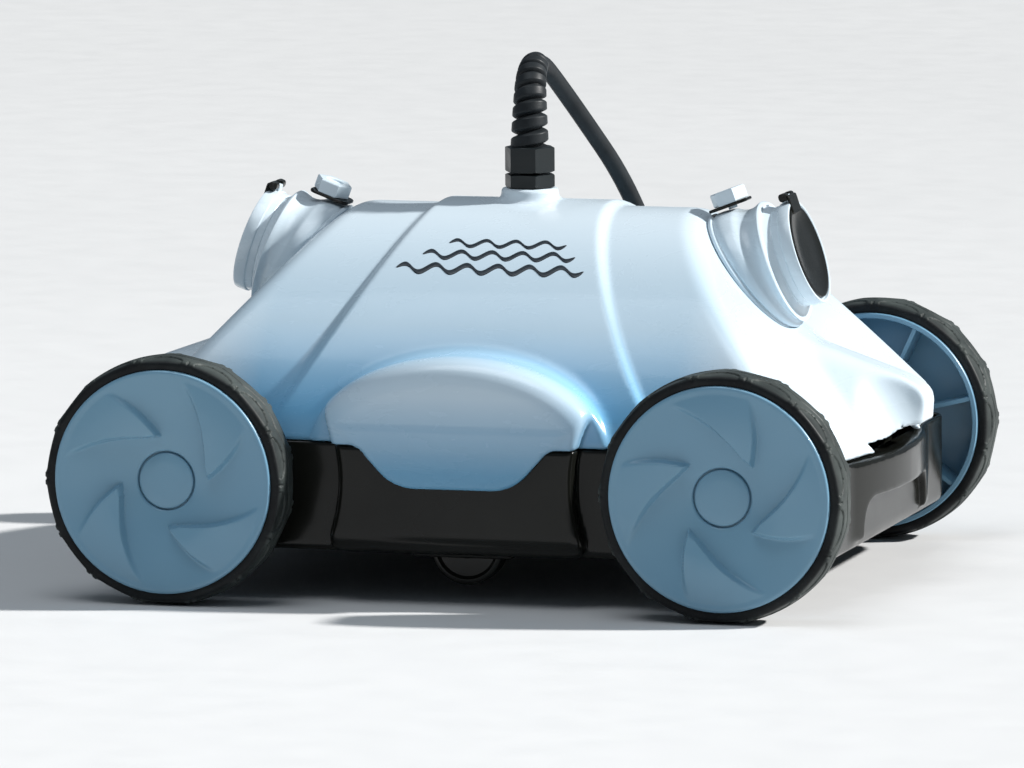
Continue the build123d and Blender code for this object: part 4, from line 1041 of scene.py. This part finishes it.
# ---- filter bag ----
def make_filter_bag():
    """Cloth bag stretched over the filter frame, slack between its edges."""
    low, high = (np.array(corner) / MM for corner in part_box("filter_bag"))
    centre, half = (low + high) / 2, (high - low) / 2 - 1.2
    columns, rows = 120, 26
    outline = rounded_path(rectangle(-1, -1, 1, 1), 0.14, 5)
    wrapped = np.concatenate([outline, outline[:1]])
    run = np.concatenate([[0], np.cumsum(np.linalg.norm(np.diff(wrapped, axis=0), axis=1))])
    at = np.linspace(0, run[-1], columns, endpoint=False)
    loop = np.stack([np.interp(at, run, wrapped[:, k]) for k in range(2)], 1)
    rings = []
    for i in range(rows):
        u = i / (rows - 1)
        if u < 0.6:
            share, height = 1.0, -1 + 2 * u / 0.6
        else:
            share, height = 1 - (u - 0.6) / 0.4 * 0.98, 1.0
        slack = 1.6 * np.sin(at * 9 + 4 * u) * np.sin(pi * min(1, u / 0.6)) ** 2
        sag = -3.2 * (1 - share) ** 0.8
        ring = np.column_stack([loop * half[:2] * share, np.full(columns, height * half[2] + sag)])
        ring[:, :2] *= (1 - np.abs(slack)[:, None] / 90)
        rings.append(ring + centre)
    shape = np.concatenate(rings), grid_faces(rows, columns, False, True)
    bag = add_mesh("filter_bag_cloth", shape, "filter_cloth", "body", ["filter_bag"])
    thick = bag.modifiers.new("thickness", "SOLIDIFY")
    thick.thickness = 0.0009
    thick.offset = -1


# ---- rollers ----
def make_roller(name, side):
    place = placed((0, side * 120, 28.5), (-side, 0, 0), (0, 0, 1), (0, side, 0))
    outline = [(3.06, -6), (4.6, -6), (5.2, -5.2), (6.0, -4.6), (15.2, -4.6), (16.0, -5.2), (16.8, -6),
               (18.4, -6), (19.2, -5.5), (19.6, -4.6), (19.6, 4.6), (19.2, 5.5), (18.4, 6), (16.8, 6),
               (16.0, 5.2), (15.2, 4.6), (6.0, 4.6), (5.2, 5.2), (4.6, 6), (3.06, 6)]
    node = f"skid_roller_{name}"
    add_mesh(f"roller_{name}", turned(outline, place, 96), NODE_SLOT[node], node, [node], 35)


# ---- stage ----
def make_light(name, kind, place, power, colour, spread):
    """A soft lamp aimed at the middle of the object."""
    data = bpy.data.lights.new(name, kind)
    data.energy, data.color = power, colour
    if kind == "SUN":
        data.angle = radians(spread)
    else:
        data.shape, data.size = "DISK", spread
    light = bpy.data.objects.new(name, data)
    light.location = place
    light.rotation_euler = (Vector((0, 0, 0.1)) - Vector(place)).to_track_quat("-Z", "Y").to_euler()
    bpy.context.scene.collection.objects.link(light)


def make_stage():
    """Pale floor, pale sky, a strong key from the right and behind, soft bluish fill."""
    mesh = bpy.data.meshes.new("floor")
    reach = 60
    mesh.from_pydata([(-reach, -reach, 0), (reach, -reach, 0), (reach, reach, 0), (-reach, reach, 0)], [],
                     [(0, 1, 2, 3)])
    floor = bpy.data.objects.new("floor", mesh)
    s = Shader("floor_paper")
    s.colour(s.mix(s.range(s.noise(1.2, 3), 0, 1), (0.64, 0.64, 0.64), (0.66, 0.66, 0.66)))
    s.roughness(s.range(s.noise(30, 3), 0.6, 0.75))
    mesh.materials.append(s.material)
    bpy.context.scene.collection.objects.link(floor)
    world = bpy.data.worlds.new("sky")
    world.use_nodes = True
    world.node_tree.nodes["Background"].inputs["Color"].default_value = (0.72, 0.86, 1.0, 1)
    world.node_tree.nodes["Background"].inputs["Strength"].default_value = 0.2
    bpy.context.scene.world = world
    make_light("key", "SUN", (2.9, 0.75, 2.2), 6.0, (1.0, 0.99, 0.97), 3)
    make_light("sky_panel", "AREA", (-0.3, -1.0, 3.1), 33, (0.90, 0.95, 1.0), 2.2)


# ---- build ----
cable_piece = make_cable()
cable_line = centreline(cable_piece)
relief_piece = make_relief(cable_line)
tie_piece = make_tie()
plug_piece = make_connector()

make_hood()
make_mark()
make_tray()
for side_name, side in SIDES:
    for end_name, end in ENDS:
        make_wheel(f"{side_name}_{end_name}", end * wheel_x, side, 93 if end < 0 else 43)
for end_name, end in ENDS:
    make_nozzle(end_name, end)
    make_outlet_flap(end_name, end)
    make_lock(end_name, end)
make_tongues()
make_gland()
make_filter_bag()
for side_name, side in SIDES:
    make_roller(side_name, side)

for node, piece in frame["nodes"].items():
    piece.data.materials.clear()
    piece.data.materials.append(MATERIALS[NODE_SLOT[node]].material)

make_stage()
bpy.context.scene.view_settings.view_transform = "Standard"
